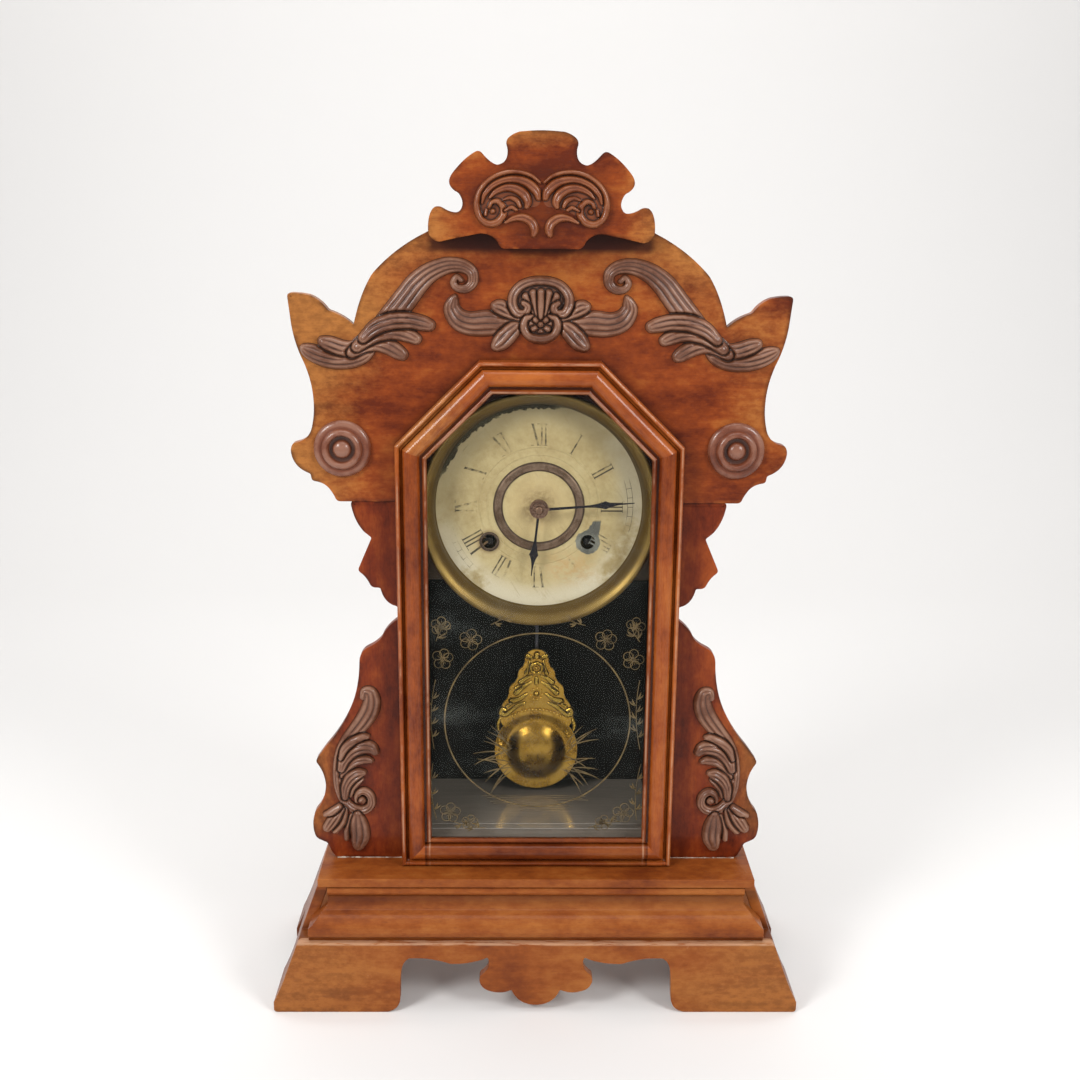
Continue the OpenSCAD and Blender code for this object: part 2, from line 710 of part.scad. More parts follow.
module knuckle(from, h, bore) {
    translate([hinge_x, hinge_y, from]) difference() {
        cylinder(h = h, r = knuckle_r);
        translate([0, 0, -1]) cylinder(h = h + 2, r = bore);
    }
}
module door_hinges() {
    color("gold") for (z = hinge_zs) difference() {
        union() {
            knuckle(z - knuckle_h / 2 + 0.1, knuckle_h - 0.2, hinge_pin_r + running_fit);
            translate([hinge_x - 10, door_back_y - leaf_t, z - hinge_h / 2])
                cube([8.1, leaf_t, hinge_h]);
            translate([hinge_x - 3, door_back_y - leaf_t, z - knuckle_h / 2 + 0.1])
                cube([3, leaf_t, knuckle_h - 0.2]);
        }
        translate([hinge_x, hinge_y, z - hinge_h / 2])
            cylinder(h = hinge_h, r = hinge_pin_r + running_fit);
    }
}
module case_hinges() {
    color("goldenrod") for (z = hinge_zs) {
        translate([hinge_x, hinge_y, z - hinge_h / 2]) cylinder(h = hinge_h, r = hinge_pin_r);
        for (side = [-1, 1]) {
            from = side < 0 ? z - hinge_h / 2 : z + knuckle_h / 2;
            translate([hinge_x, hinge_y, from]) cylinder(h = knuckle_h, r = knuckle_r);
            translate([hinge_x - 1, hinge_y + 0.7, from])
                cube([2, side_board_y - hinge_y - 0.7 + leaf_t, knuckle_h]);
        }
        translate([hinge_x - 10, side_board_y, z - hinge_h / 2]) cube([11, leaf_t, hinge_h]);
    }
}

// Dial

module dial_plate() {
    color("ivory") difference() {
        rod(centre_at, dial_y, dial_t, dial_seat_r - running_fit);
        rod(centre_at, dial_y - 1, dial_t + 2, 4.2);
        for (p = [time_at, strike_at]) rod(p, dial_y - 1, dial_t + 2, winding_hole_r);
    }
}
// The bezel rolls over the boards, then dishes back to hold the dial plate
module dial_bezel() {
    seat = dial_seat_r;
    roll = 1.9;
    back = dial_y + dial_t;
    rim_y = head_y - roll;
    lip = trace([[bezel_r - 2 * roll, rim_y - 0.8], [seat + 0.3, dial_y - 0.6,
        seat + 0.6, head_y + 1], [seat, dial_y - 0.3], [seat, back], [seat - 5, back],
        [seat - 5, back + bezel_t], [seat + bezel_t, back + bezel_t],
        [seat + bezel_t, dial_y - 0.5], [opening_r - 0.4, head_y + 0.2, seat + 1.6, head_y + 4]]);
    color("darkgoldenrod") turned(centre_at) polygon(concat([[opening_r - 0.4, head_y],
        [bezel_r, head_y]], arc([bezel_r - roll, rim_y], roll, 0, -150), lip));
}
module centre_ring() {
    color("saddlebrown") turned(centre_at) polygon([for (p = arc([0, 0], 1, 0, 180, 10))
        [centre_ring_r + 3 * p[0], dial_y - 1.5 * p[1]]]);
}

// Hands, drawn pointing up and then turned clockwise

minute_y = dial_y - 9.3;
hour_y = dial_y - 6.7;
pipe_r = centre_arbor_r + 1.3;

module hand_blade(l, swell, w) {
    half = trace([[0.9, 0], [0.7, swell - 12], [w, swell, 0.9, swell - 5],
        [0.5, swell + 9, 0.9, swell + 3], [0.25, l]]);
    polygon(concat(half, flipped(half)));
}
module hand(y, l, swell, w, angle, hub_r, bore_r) {
    difference() {
        union() {
            translate([0, 0, dial_centre]) rotate([0, angle, 0]) board(y, hand_t)
                hand_blade(l, swell, w);
            rod(centre_at, y - 0.7, hand_t + 1.4, hub_r);
        }
        rod(centre_at, y - 2, hand_t + 4, bore_r);
    }
}
module minute_hand() {
    color("black") hand(minute_y, minute_l, minute_l - 18, 2.6, minute_angle, 4.4, centre_arbor_r);
}
module hour_hand() {
    color("black") hand(hour_y, hour_l, hour_l - 14, 3, hour_angle, 6, pipe_r);
}
nut_y = minute_y - 0.7;
module hand_nut() {
    color("dimgray") difference() {
        turned(centre_at) polygon(concat([[0, nut_y], [2.7, nut_y]],
            arc([1.5, nut_y - 0.9], 1.2, 0, -90, 4), [[0, nut_y - 2.1]]));
        rod(centre_at, nut_y - 1, 2, centre_arbor_r);
    }
}

// Motion work in front of the movement: it turns the hour hand once for twelve turns of the minute hand

cannon_y = plate_y - 3.4;
motion_wheel_y = cannon_y + 0.3;
hour_wheel_y = cannon_y - 2.2;

module centre_arbor() {
    tip = nut_y - 1;
    color("silver") {
        rod(centre_at, tip, back_plate_y + plate_t + 0.6 - tip, centre_arbor_r);
        gear(centre_at, cannon_y, 1.8, motion_m, cannon_leaves, -90);
    }
}
module minute_wheel() {
    stud_r = 1;
    color("gold") difference() {
        union() {
            gear(motion_at, motion_wheel_y, wheel_t, motion_m, minute_teeth,
                gap_at(minute_teeth, 90));
            gear(motion_at, hour_wheel_y - 0.2, 2.2, hour_m, cannon_leaves, 90);
            rod(motion_at, cannon_y - 0.5, 1.4, 1.6);
        }
        rod(motion_at, hour_wheel_y - 1, 8, stud_r + running_fit);
    }
}
module hour_wheel() {
    front = hour_y - 0.9;
    color("gold") difference() {
        union() {
            gear(centre_at, hour_wheel_y, 1, hour_m, hour_teeth, gap_at(hour_teeth, -90));
            rod(centre_at, front, hour_wheel_y + 1.4 - front, pipe_r);
        }
        rod(centre_at, front - 1, hour_wheel_y - front + 4, centre_arbor_r + running_fit + 0.03);
    }
}

// Movement plates

arbor_places = [second_at, third_at, escape_at, strike_second_at, warning_at, fly_at];

module plate_shape() {
    w = plate_w / 2;
    translate([-w, plate_foot]) square([plate_w, plate_h]);
}
module plate(y) {
    difference() {
        board(y, plate_t) difference() {
            plate_shape();
            for (x = [-1, 1]) {
                translate([x * 29, dial_centre + 42]) circle(r = 7.5);
                translate([x * 12, dial_centre - 34]) circle(r = 7);
            }
            translate([24, dial_centre + 16]) circle(r = 11);
            translate([42, dial_centre + 6]) circle(r = 4.5);
        }
        for (p = arbor_places) rod(p, y - 1, plate_t + 2, 0.7 + running_fit);
        rod(centre_at, y - 1, plate_t + 2, centre_arbor_r + running_fit);
        rod(verge_at, y - 1, plate_t + 2, arbor_r + running_fit);
        for (p = [time_at, strike_at])
            rod(p, y - 1, plate_t + 2, winding_arbor_r + running_fit);
    }
}
module front_plate() {
    color("goldenrod") {
        difference() {
            union() {
                plate(plate_y);
                both_sides() for (z = lug_zs) board(plate_y, plate_t)
                    translate([plate_w / 2 - 1, z - lug_h / 2])
                        square([lug_screw_x + 4 - plate_w / 2 + 1, lug_h]);
            }
            both_sides() {
                for (z = lug_zs) rod([lug_screw_x, z], plate_y - 1, plate_t + 2, screw_r);
                for (z = [pillar_low, pillar_high])
                    rod([pillar_x, z], plate_y - 1, plate_t + 2, 1.5);
            }
        }
        rod(motion_at, hour_wheel_y - 0.6, plate_y - hour_wheel_y + 0.6, 1);
    }
}
// The pillars are riveted in the back plate, and their threaded ends take nuts in front
module back_plate() {
    color("goldenrod") {
        difference() {
            plate(back_plate_y);
            rod(hammer_at, back_plate_y - 1, plate_t + 2, 1.5 + running_fit);
        }
        both_sides() for (z = [pillar_low, pillar_high]) {
            rod([pillar_x, z], inner_y, plate_gap, pillar_r);
            rod([pillar_x, z], plate_y - 1.8, plate_t + 2, 1.5);
            turned([pillar_x, z]) polygon([[1.5, plate_y - 1.6], [2.8, plate_y - 1.6],
                [2.8, plate_y], [1.5, plate_y]]);
        }
        // The cock: an arm over the verge and a block with a hole and a slot for the suspension
        difference() {
            union() {
                translate([-3, back_plate_y + plate_t, verge_at[1] + 2.4])
                    cube([6, rod_depth + 3, 3.6]);
                translate([-3, rod_y - 3, verge_at[1] - 2.4]) cube([6, 6, 5]);
            }
            rod(verge_at, rod_y - 2.6, 6, suspension_pin_r + running_fit);
            translate([-0.45, rod_y - 2.6, verge_at[1] - 4]) cube([0.9, 6, 4]);
        }
    }
}
// Wood screws: four for the movement and six for the back board
module screw(at, y, l, facing) {
    head_h = 1.3;
    rod(at, facing > 0 ? y : y - l, l, screw_r);
    turned(at) polygon([[0, y], [3, y], [1.6, y - facing * head_h], [0, y - facing * head_h]]);
}
module screws() {
    color("dimgray") {
        both_sides() for (z = lug_zs) screw([lug_screw_x, z], plate_y, 11, 1);
        for (p = back_screws) screw(p, back_y + back_t, 13, -1);
    }
}

// Power: main wheels, springs, winding arbors with their ratchets, and clicks

module main_wheel(at, from) {
    difference() {
        union() {
            gear(at, inner_y + main_d, 1.6, main_m, main_teeth, from);
            rod(at + click_at, inner_y + ratchet_d, 1.8, 1);
        }
        rod(at, inner_y + main_d - 1, 4, winding_arbor_r + running_fit);
    }
}
module time_main_wheel() {
    color("gold") main_wheel(time_at, bearing(time_at, second_at));
}
module strike_main_wheel() {
    color("gold") main_wheel(strike_at, bearing(strike_at, strike_second_at));
}
// The strip's outer end runs straight to a pillar and hooks round it
module mainspring() {
    step = 1.15;
    halves = 11;
    end_r = winding_arbor_r + 1.1 + (halves - 1) * step + spring_t / 2;
    hook_r = pillar_r + 0.02 + spring_t / 2;
    pillar = [pillar_x - winding_x, time_at[1] - pillar_low];
    lean = bearing([0, 0], pillar) - acos((end_r - hook_r) / norm(pillar));
    tail = sqrt(pow(norm(pillar), 2) - pow(end_r - hook_r, 2));
    translate([time_at[0], inner_y + spring_d, time_at[1]]) rotate([-90, 0, 0]) {
        rotate([0, 0, lean - 180]) winding_strip(step, winding_arbor_r + 1.1, halves)
            square([spring_t, spring_w]);
        rotate([0, 0, lean]) translate([end_r - spring_t / 2, 0, 0])
            cube([spring_t, tail, spring_w]);
        translate(pillar) rotate([0, 0, lean]) rotate_extrude(angle = 240)
            translate([hook_r - spring_t / 2, 0]) square([spring_t, spring_w]);
    }
}
module mainsprings() {
    color("steelblue") both_sides() mainspring();
}
// A square for the key, the arbor, its ratchet, and a pivot in each plate
module winding_arbor(at, tail) {
    color("silver") {
        translate([at[0], plate_y - 5.5, at[1]]) cube([4.1, 7, 4.1], center = true);
        rod(at, plate_y - 2.5, back_plate_y + plate_t + tail - plate_y + 2.5, winding_arbor_r);
        translate([at[0], inner_y + ratchet_d + 1.3, at[1]]) rotate([90, 0, 0])
            linear_extrude(1.3) polygon([for (i = [0:ratchet_teeth - 1])
                let (a = i * 360 / ratchet_teeth)
                each [polar(ratchet_r, a), polar(ratchet_r - 1.7, a + 1.5)]]);
    }
}
module time_winding_arbor() {
    winding_arbor(time_at, 0.6);
}
module strike_winding_arbor() {
    winding_arbor(strike_at, 3);
}
module click(at) {
    stud = at + click_at;
    color("dimgray") difference() {
        board(inner_y + ratchet_d + 0.1, 1.2) translate(stud) polygon(trace([[2, 0.6],
            [0, 2.2, 2, 2.2], [-2, 1, -1.6, 2.2], [-4.6, -1.15], [-4.9, -2.2], [0, -2, -2, -2],
            [2, 0.6, 2, -2]]));
        rod(stud, inner_y + ratchet_d - 1, 4, 1 + running_fit);
    }
}
module time_click() {
    click(time_at);
}
module strike_click() {
    click(strike_at);
}

// Trains

// An arbor with thin pivots in both plates, a wheel and the pinion that drives it
module train_arbor(at) {
    rod(at, plate_y + 0.2, plate_gap + 2 * plate_t - 0.4, 0.7);
    rod(at, inner_y + 0.4, plate_gap - 0.8, arbor_r);
}
module second_wheel() {
    color("gold") {
        train_arbor(second_at);
        gear(second_at, inner_y + main_d - 0.2, 2, main_m, leaf_teeth,
            gap_at(leaf_teeth, bearing(second_at, time_at)));
        difference() {
            gear(second_at, inner_y + second_d, wheel_t, second_m, second_teeth,
                bearing(second_at, centre_at));
            windows(second_at, inner_y + second_d, wheel_t, 8.6, 3.2, 5);
        }
    }
}
// The centre wheel rides on the centre arbor, which slips in it when the hands are set
module centre_wheel() {
    front = inner_y + centre_wheel_d - 0.8;
    color("gold") difference() {
        union() {
            gear(centre_at, inner_y + centre_wheel_d, wheel_t, third_m, centre_teeth,
                bearing(centre_at, third_at));
            gear(centre_at, inner_y + second_d - 0.2, 1.6, second_m, centre_leaves,
                gap_at(centre_leaves, bearing(centre_at, second_at)));
            rod(centre_at, front, second_d - centre_wheel_d + 1.4, centre_arbor_r + 0.6);
        }
        rod(centre_at, front - 1, 12, centre_arbor_r + running_fit);
        windows(centre_at, inner_y + centre_wheel_d, wheel_t, 7.6, 2.9, 5);
    }
}
module third_wheel() {
    color("gold") {
        train_arbor(third_at);
        gear(third_at, inner_y + centre_wheel_d - 0.2, 1.6, third_m, leaf_teeth,
            gap_at(leaf_teeth, bearing(third_at, centre_at)));
        difference() {
            gear(third_at, inner_y + third_d, wheel_t, third_m, third_teeth,
                bearing(third_at, escape_at));
            windows(third_at, inner_y + third_d, wheel_t, 7.4, 2.8, 5);
        }
    }
}
module escape_wheel() {
    pitch = 360 / escape_teeth;
    root = escape_r - tooth_depth;
    color("gold") {
        train_arbor(escape_at);
        gear(escape_at, inner_y + third_d - 0.2, 1.6, third_m, leaf_teeth,
            gap_at(leaf_teeth, bearing(escape_at, third_at)));
        difference() {
            translate([escape_at[0], inner_y + escape_d + 1, escape_at[1]]) rotate([90, 0, 0])
                linear_extrude(1) polygon([for (i = [0:escape_teeth - 1])
                    let (a = (i + 0.5) * pitch) each [polar(root, a - 3), polar(escape_r, a - 0.6),
                        polar(escape_r, a + 0.6), polar(root, a + 2)]]);
            windows(escape_at, inner_y + escape_d, 1, 6.4, 2.4, 5);
        }
    }
}
// The verge: a bent strip with two pallets on an arbor, and the crutch behind the back plate
module verge() {
    tip = escape_r - pallet_dip;
    band = escape_r + 1.6;
    band_top = escape_at[1] + band + 1;
    crutch_y = back_plate_y + plate_t + 1.2;
    color("silver") {
        rod(verge_at, plate_y - 0.4, crutch_y + 0.8 - plate_y, arbor_r);
        board(inner_y + escape_d - 0.6, 2.2) {
            translate(escape_at) polygon(concat(
                arc([0, 0], band + 1.6, 90 - pallet_half - 1.2, 90 + pallet_half + 1.2, 16),
                arc([0, 0], band, 90 + pallet_half + 1.2, 90 - pallet_half - 1.2, 16)));
            for (a = [90 - pallet_half, 90 + pallet_half]) translate(escape_at)
                polygon([polar(band + 0.4, a - 1.1), polar(tip, a - 0.9), polar(tip, a + 0.9),
                    polar(band + 0.4, a + 1.1)]);
            translate([-1.2, band_top]) square([2.4, verge_at[1] - band_top]);
        }
        bar(verge_at, [0, crutch_z], crutch_y, 0.5);
        for (x = [-1, 1] * (rod_r + 0.7)) rod([x, crutch_z], crutch_y - 0.5, rod_depth + 1.5, 0.5);
        translate([-rod_r - 0.7, crutch_y, crutch_z]) rotate([0, 90, 0])
            cylinder(h = 2 * rod_r + 1.4, r = 0.5);
    }
}
module strike_second_wheel() {
    color("gold") {
        train_arbor(strike_second_at);
        gear(strike_second_at, inner_y + main_d - 0.2, 2, main_m, leaf_teeth,
            gap_at(leaf_teeth, bearing(strike_second_at, strike_at)));
        gear(strike_second_at, inner_y + second_d, wheel_t, third_m, strike_teeth,
            bearing(strike_second_at, warning_at));
    }
}
module warning_wheel() {
    color("gold") {
        train_arbor(warning_at);
        gear(warning_at, inner_y + second_d - 0.2, 1.6, third_m, leaf_teeth,
            gap_at(leaf_teeth, bearing(warning_at, strike_second_at)));
        gear(warning_at, inner_y + 7.4, wheel_t, warning_m, warning_teeth,
            bearing(warning_at, fly_at));
    }
}
// The fly's vane beats the air to slow the striking
module fly() {
    color("gold") {
        train_arbor(fly_at);
        gear(fly_at, inner_y + 7.2, 1.6, warning_m, fly_leaves,
            gap_at(fly_leaves, bearing(fly_at, warning_at)));
        translate([fly_at[0], inner_y + 10.5, fly_at[1]]) rotate([0, -35, 0])
            translate([-9, 0, -0.25]) cube([18, 10, 0.5]);
    }
}
// Ninety strokes in twelve hours: h strokes for the hour and one for the half
module count_wheel() {
    y = back_plate_y + plate_t + 0.7;
    r = 17;
    color("gold") difference() {
        rod(strike_at, y, 1.2, r);
        rod(strike_at, y - 1, 4, winding_arbor_r + running_fit);
        for (h = [1:12]) translate([strike_at[0], y + 0.6, strike_at[1]])
            rotate([0, -360 * (h * (h + 1) / 2 + h) / 90, 0])
                translate([r, 0, 0]) cube([5, 3, 1.8], center = true);
        windows(strike_at, y, 1.2, 10, 3.6, 5);
    }
}

// Strike: the hammer rests just clear of the gong's outer turn

module hammer() {
    face_x = -gong_r - gong_wire_r - 0.5;
    head_l = 11;
    gong_z = dial_centre - gong_drop;
    from = back_plate_y - 1.6;
    color("silver") {
        rod(hammer_at, from, gong_y + 1.5 - from, 1.5);
        bar(hammer_at, [face_x - head_l / 2, gong_z], gong_y, 1);
        translate([face_x, gong_y, gong_z]) rotate([0, -90, 0]) cylinder(h = head_l, r = 4);
    }
}
// The gong: one wire wound in half turns from its base to its free outer end
gong_step = 4;
gong_halves = 7;
gong_first = gong_r - gong_step * (gong_halves - 1) - gong_step;
module gong() {
    color("steelblue") translate([0, gong_y, dial_centre - gong_drop]) rotate([90, 0, 0])
        winding_strip(gong_step, gong_first + gong_step, gong_halves)
            circle(r = gong_wire_r);
}
module gong_base() {
    at = [0, dial_centre - gong_drop];
    socket = gong_first + gong_step;
    color("darkslategray") difference() {
        union() {
            turned(at) polygon([[0, back_y], [14, back_y], [14, back_y - 2], [9, back_y - 3.4],
                [6, gong_y + 2.2], [4, gong_y + 2.2], [4, gong_y - 2.4], [0, gong_y - 2.4]]);
            translate([0, gong_y - 2.4, at[1] - 3.5]) cube([socket + 2.4, 4.8, 3.5]);
        }
        translate([0, gong_y, at[1]]) rotate([90, 0, 0]) translate([socket, 0, 0])
            rotate([90, 0, 0]) cylinder(h = 8, r = gong_wire_r + 0.02, center = true);
    }
}

// Pendulum, hung behind the movement

module suspension_spring() {
    color("lightsteelblue") {
        rod(verge_at, rod_y - 2.4, 4.8, suspension_pin_r);
        translate([-0.125, rod_y - 2.4, verge_at[1] - 5]) cube([0.25, 4.8, 5]);
        translate([-1.4, rod_y - 2.8, verge_at[1] - 8]) cube([2.8, 5.6, 4]);
    }
}
module pendulum_rod() {
    color("gray") translate([0, rod_y, rod_foot])
        cylinder(h = verge_at[1] - 8 - rod_foot, r = rod_r);
}
// The bob: a stamped disc with a dome, and a beaded crown tapering up the rod
bob_y = rod_y - rod_r - 0.3 - bob_t;
crown_half = trace([[bob_r * 0.76, 17], [25.2, 30, 27, 23], [20.5, 38, 22.5, 37], [19, 42],
    [15.5, 50, 19.5, 48], [13, 54], [9.5, 62, 13, 60], [8, 66], [7.2, 71, 8.5, 69], [0, 74.5, 4, 75]]);
module pendulum_bob() {
    color("gold") difference() {
        union() {
            turned([0, bob_at]) polygon(concat([[0, bob_y + bob_t], [bob_r - 1.2, bob_y + bob_t],
                [bob_r, bob_y + bob_t - 1], [bob_r, bob_y + bob_t - 2], [20, bob_y + 1.8]],
                bend([19, bob_y + 1.8], [13, bob_y - 2.6], [0, bob_y - 2.6], 8)));
            board(bob_y + 1.6, bob_t - 1.6) translate([0, bob_at]) polygon(both_halves(
                concat([[0, 10]], crown_half)));
            for (z = [bob_at + 50, bob_at - 18]) translate([-3, bob_y + bob_t, z])
                cube([6, 2 * rod_r + 1.4, 3]);
        }
        translate([0, rod_y, nut_z - 0.5]) cylinder(h = nut_h + 0.5, r = nut_r + 0.3);
        translate([0, rod_y, rod_foot - 1]) cylinder(h = bob_r * 4, r = rod_r + 0.02);
    }
}
module rating_nut() {
    color("goldenrod") translate([0, rod_y, nut_z]) difference() {
        cylinder(h = nut_h, r = nut_r);
        translate([0, 0, -1]) cylinder(h = nut_h + 2, r = rod_r + running_fit);
    }
}

base_top_board();
base_front();
base_sides();
base_moulding();
wood_blocks();
back_board();
case_sides();
case_top();
case_floor();
front_rail();
head_board();
side_boards();
crest_board();
crest_carving();
head_carvings();
side_carvings();
rosettes();
door_top_rail();
door_bottom_rail();
door_stiles();
door_diagonals();
door_glass();
glass_strips();
door_hinges();
case_hinges();
dial_plate();
dial_bezel();
centre_ring();
minute_hand();
hour_hand();
hand_nut();
centre_arbor();
minute_wheel();
hour_wheel();
front_plate();
back_plate();
screws();
time_main_wheel();
strike_main_wheel();
mainsprings();
time_winding_arbor();
strike_winding_arbor();
time_click();
strike_click();
second_wheel();
centre_wheel();
third_wheel();
escape_wheel();
verge();
strike_second_wheel();
warning_wheel();
fly();
count_wheel();
hammer();
suspension_spring();
pendulum_rod();
pendulum_bob();
rating_nut();
gong();
gong_base();
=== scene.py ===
"""Looks of a gingerbread kitchen clock: stained and carved wood, a papered dial, gilt glass and brass."""
import math

import bmesh
import bpy
import numpy as np
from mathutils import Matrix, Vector


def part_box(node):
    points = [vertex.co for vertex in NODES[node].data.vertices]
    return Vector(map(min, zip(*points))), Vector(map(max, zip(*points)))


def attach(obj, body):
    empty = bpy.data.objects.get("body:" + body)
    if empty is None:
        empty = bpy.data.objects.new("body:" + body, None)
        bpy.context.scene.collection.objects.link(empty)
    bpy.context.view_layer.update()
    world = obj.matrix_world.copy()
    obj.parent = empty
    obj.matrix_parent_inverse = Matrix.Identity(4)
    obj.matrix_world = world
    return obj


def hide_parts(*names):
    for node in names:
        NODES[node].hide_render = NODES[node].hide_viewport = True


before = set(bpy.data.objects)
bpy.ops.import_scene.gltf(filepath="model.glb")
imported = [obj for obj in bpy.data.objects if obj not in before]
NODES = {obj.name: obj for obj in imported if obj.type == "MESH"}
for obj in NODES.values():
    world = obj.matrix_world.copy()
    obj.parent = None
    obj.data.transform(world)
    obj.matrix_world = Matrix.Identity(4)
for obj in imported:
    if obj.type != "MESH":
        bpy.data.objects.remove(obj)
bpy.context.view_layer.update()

bl_info = {
    "name": "Gingerbread Kitchen Clock",
    "version": (1, 0, 0),
    "blender": (4, 5, 0),
    "location": "View3D > Sidebar > Kitchen Clock",
    "description": "Builds the finished look of a carved kitchen clock round its packed solids",
    "category": "Object",
}

MM = 0.001


def corners(name):
    """The lowest and the highest corner of a solid, in millimetres."""
    low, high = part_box(name)
    return np.array(low) / MM, np.array(high) / MM


HEAD_FACE = corners("head_board")[0][1]
SIDE_FACE = corners("side_boards")[0][1]
CREST_FACE = corners("crest_board")[0][1]
DIAL_LOW, DIAL_HIGH = corners("dial_plate")
DIAL_Z = (DIAL_LOW[2] + DIAL_HIGH[2]) / 2
GLASS_BACK = corners("door_glass")[1][1]
# The bob's disc, and its centre from the lowest point of the bob
BOB_RADIUS = 29.0
BOB_Z = corners("pendulum_bob")[0][2] + BOB_RADIUS
# The door's outline: half its width, its height, and where the sloping rails start
DOOR_HALF, DOOR_TOP = (max(corners(n)[1][k] for n in ("door_stiles", "door_top_rail")) for k in (0, 2))
TOP_RAIL_HALF = corners("door_top_rail")[1][0]
SHOULDER = corners("door_stiles")[1][2]
SLOPE = (DOOR_TOP - SHOULDER) / (DOOR_HALF - TOP_RAIL_HALF)
# The two winding holes, sideways from the dial's centre and below it
WINDING = (31.4, 23.0)
# How far flat ink and gilt lie off their surface, and the hinge leaves off the side board
SKIN = 0.05
INK_SKIN = 0.04
LEAF_PROUD = 0.06
# Distance in metres under which points of a solid are one
TOUCH = 2e-6
QUARTER = math.radians(90)


# Shader nodes as Python expressions

class Wire:
    """An output socket. Arithmetic on it adds Math nodes."""

    def __init__(self, finish, socket):
        self.finish, self.socket = finish, socket

    def math(self, operation, *others, clamp=False):
        sockets = dict(enumerate((self,) + others))
        return self.finish.add("Math", {"operation": operation, "use_clamp": clamp}, sockets)

    def __add__(self, other):
        return self.math("ADD", other)

    def __sub__(self, other):
        return self.math("SUBTRACT", other)

    def __rsub__(self, other):
        return self.finish.add("Math", {"operation": "SUBTRACT"}, {0: other, 1: self})

    def __mul__(self, other):
        return self.math("MULTIPLY", other)

    __radd__ = __add__
    __rmul__ = __mul__

    def __abs__(self):
        return self.math("ABSOLUTE")

    def clamped(self):
        return self.math("ADD", 0.0, clamp=True)

    def smooth(self, low, high):
        """0 below low, 1 above high and a soft step between them. low may be the greater."""
        flip = low > high
        step = self.finish.add("MapRange", {"interpolation_type": "SMOOTHSTEP"},
                               {0: self, 1: min(low, high), 2: max(low, high), 3: 0.0, 4: 1.0})
        return 1 - step if flip else step

    def most(self, other):
        return self.math("MAXIMUM", other)

    def root(self):
        return self.math("SQRT")


class Finish:
    """A material under construction, with a Principled shader at its end."""

    def __init__(self, name, **values):
        self.material = bpy.data.materials.new(name)
        self.material.use_nodes = True
        self.tree = self.material.node_tree
        self.tree.nodes.clear()
        self.output = self.tree.nodes.new("ShaderNodeOutputMaterial")
        self.shader = self.tree.nodes.new("ShaderNodeBsdfPrincipled")
        self.tree.links.new(self.shader.outputs[0], self.output.inputs[0])
        self.place = self.tree.nodes.new("ShaderNodeTexCoord")
        self.set(**values)

    def feed(self, socket, value):
        if isinstance(value, Wire):
            self.tree.links.new(value.socket, socket)
        elif hasattr(value, "__len__") and len(value) == 3 and socket.type == "RGBA":
            socket.default_value = (*value, 1)
        else:
            socket.default_value = value

    def add(self, kind, settings=None, sockets=None, out=0):
        node = self.tree.nodes.new("ShaderNode" + kind)
        for key, value in (settings or {}).items():
            setattr(node, key, value)
        for key, value in (sockets or {}).items():
            self.feed(node.inputs[key], value)
        return Wire(self, node.outputs[out])

    def set(self, **values):
        for key, value in values.items():
            self.feed(self.shader.inputs[key.replace("_", " ")], value)

    def point(self, stretch=(1, 1, 1), turn=(0, 0, 0), start=None):
        """Object coordinates in millimetres, turned and then stretched."""
        scale = 1 / MM if start is None else 1
        start = start or Wire(self, self.place.outputs["Object"])
        if any(turn):
            start = self.add("Mapping", {}, {"Vector": start, "Rotation": turn})
        return self.add("Mapping", {}, {"Vector": start, "Scale": tuple(s * scale for s in stretch)})

    def parts(self, vector=None):
        """The three numbers of a vector, or of the object coordinates in millimetres."""
        node = self.tree.nodes.new("ShaderNodeSeparateXYZ")
        self.feed(node.inputs[0], vector or self.point())
        return [Wire(self, o) for o in node.outputs]

    def joined(self, x, y, z):
        return self.add("CombineXYZ", {}, {0: x, 1: y, 2: z})

    def noise(self, stretch, detail, rough, place=None, turn=(0, 0, 0)):
        """Noise with a stretch per millimetre, as three numbers or as one for all directions."""
        if not isinstance(stretch, tuple):
            stretch = (stretch,) * 3
        place = self.point(stretch, turn, place)
        return self.add("TexNoise", {}, {"Vector": place, "Scale": 1, "Detail": detail, "Roughness": rough})

    def mix(self, factor, a, b, how="MIX"):
        node = self.tree.nodes.new("ShaderNodeMix")
        node.data_type, node.blend_type = "RGBA", how
        for key, value in ((0, factor), (6, a), (7, b)):
            self.feed(node.inputs[key], value)
        return Wire(self, node.outputs[2])

    def ramp(self, factor, *stops):
        node = self.tree.nodes.new("ShaderNodeValToRGB")
        elements = node.color_ramp.elements
        while len(elements) < len(stops):
            elements.new(0.5)
        for element, (place, colour) in zip(elements, stops):
            element.position, element.color = place, (*colour, 1)
        self.feed(node.inputs[0], factor)
        return Wire(self, node.outputs[0])

    def attribute(self, name):
        return self.add("Attribute", {"attribute_name": name}, {}, out=2)

    def bumps(self, *layers):
        """Relief layers, each a height wire and its depth in millimetres."""
        normal = None
        for height, depth in layers:
            sockets = {"Height": height, "Distance": depth * MM, "Strength": 1.0}
            if normal is not None:
                sockets["Normal"] = normal
            normal = self.add("Bump", {}, sockets)
        self.set(Normal=normal)


def shade(colour, amount):
    """A darker or lighter tone of a colour."""
    return tuple(c * amount for c in colour)


# Mesh code

def new_object(name, verts, faces, smooth=30):
    """A mesh object from points in millimetres."""
    mesh = bpy.data.meshes.new(name)
    mesh.from_pydata([tuple(v) for v in np.asarray(verts, float) * MM], [], faces)
    mesh.update()
    return finished(name, mesh, smooth)


def shaded(mesh, smooth):
    """Smooth shading with sharp edges above an angle in degrees, or flat shading for 0."""
    for face in mesh.polygons:
        face.use_smooth = smooth > 0
    if smooth:
        mesh.set_sharp_from_angle(angle=math.radians(smooth))


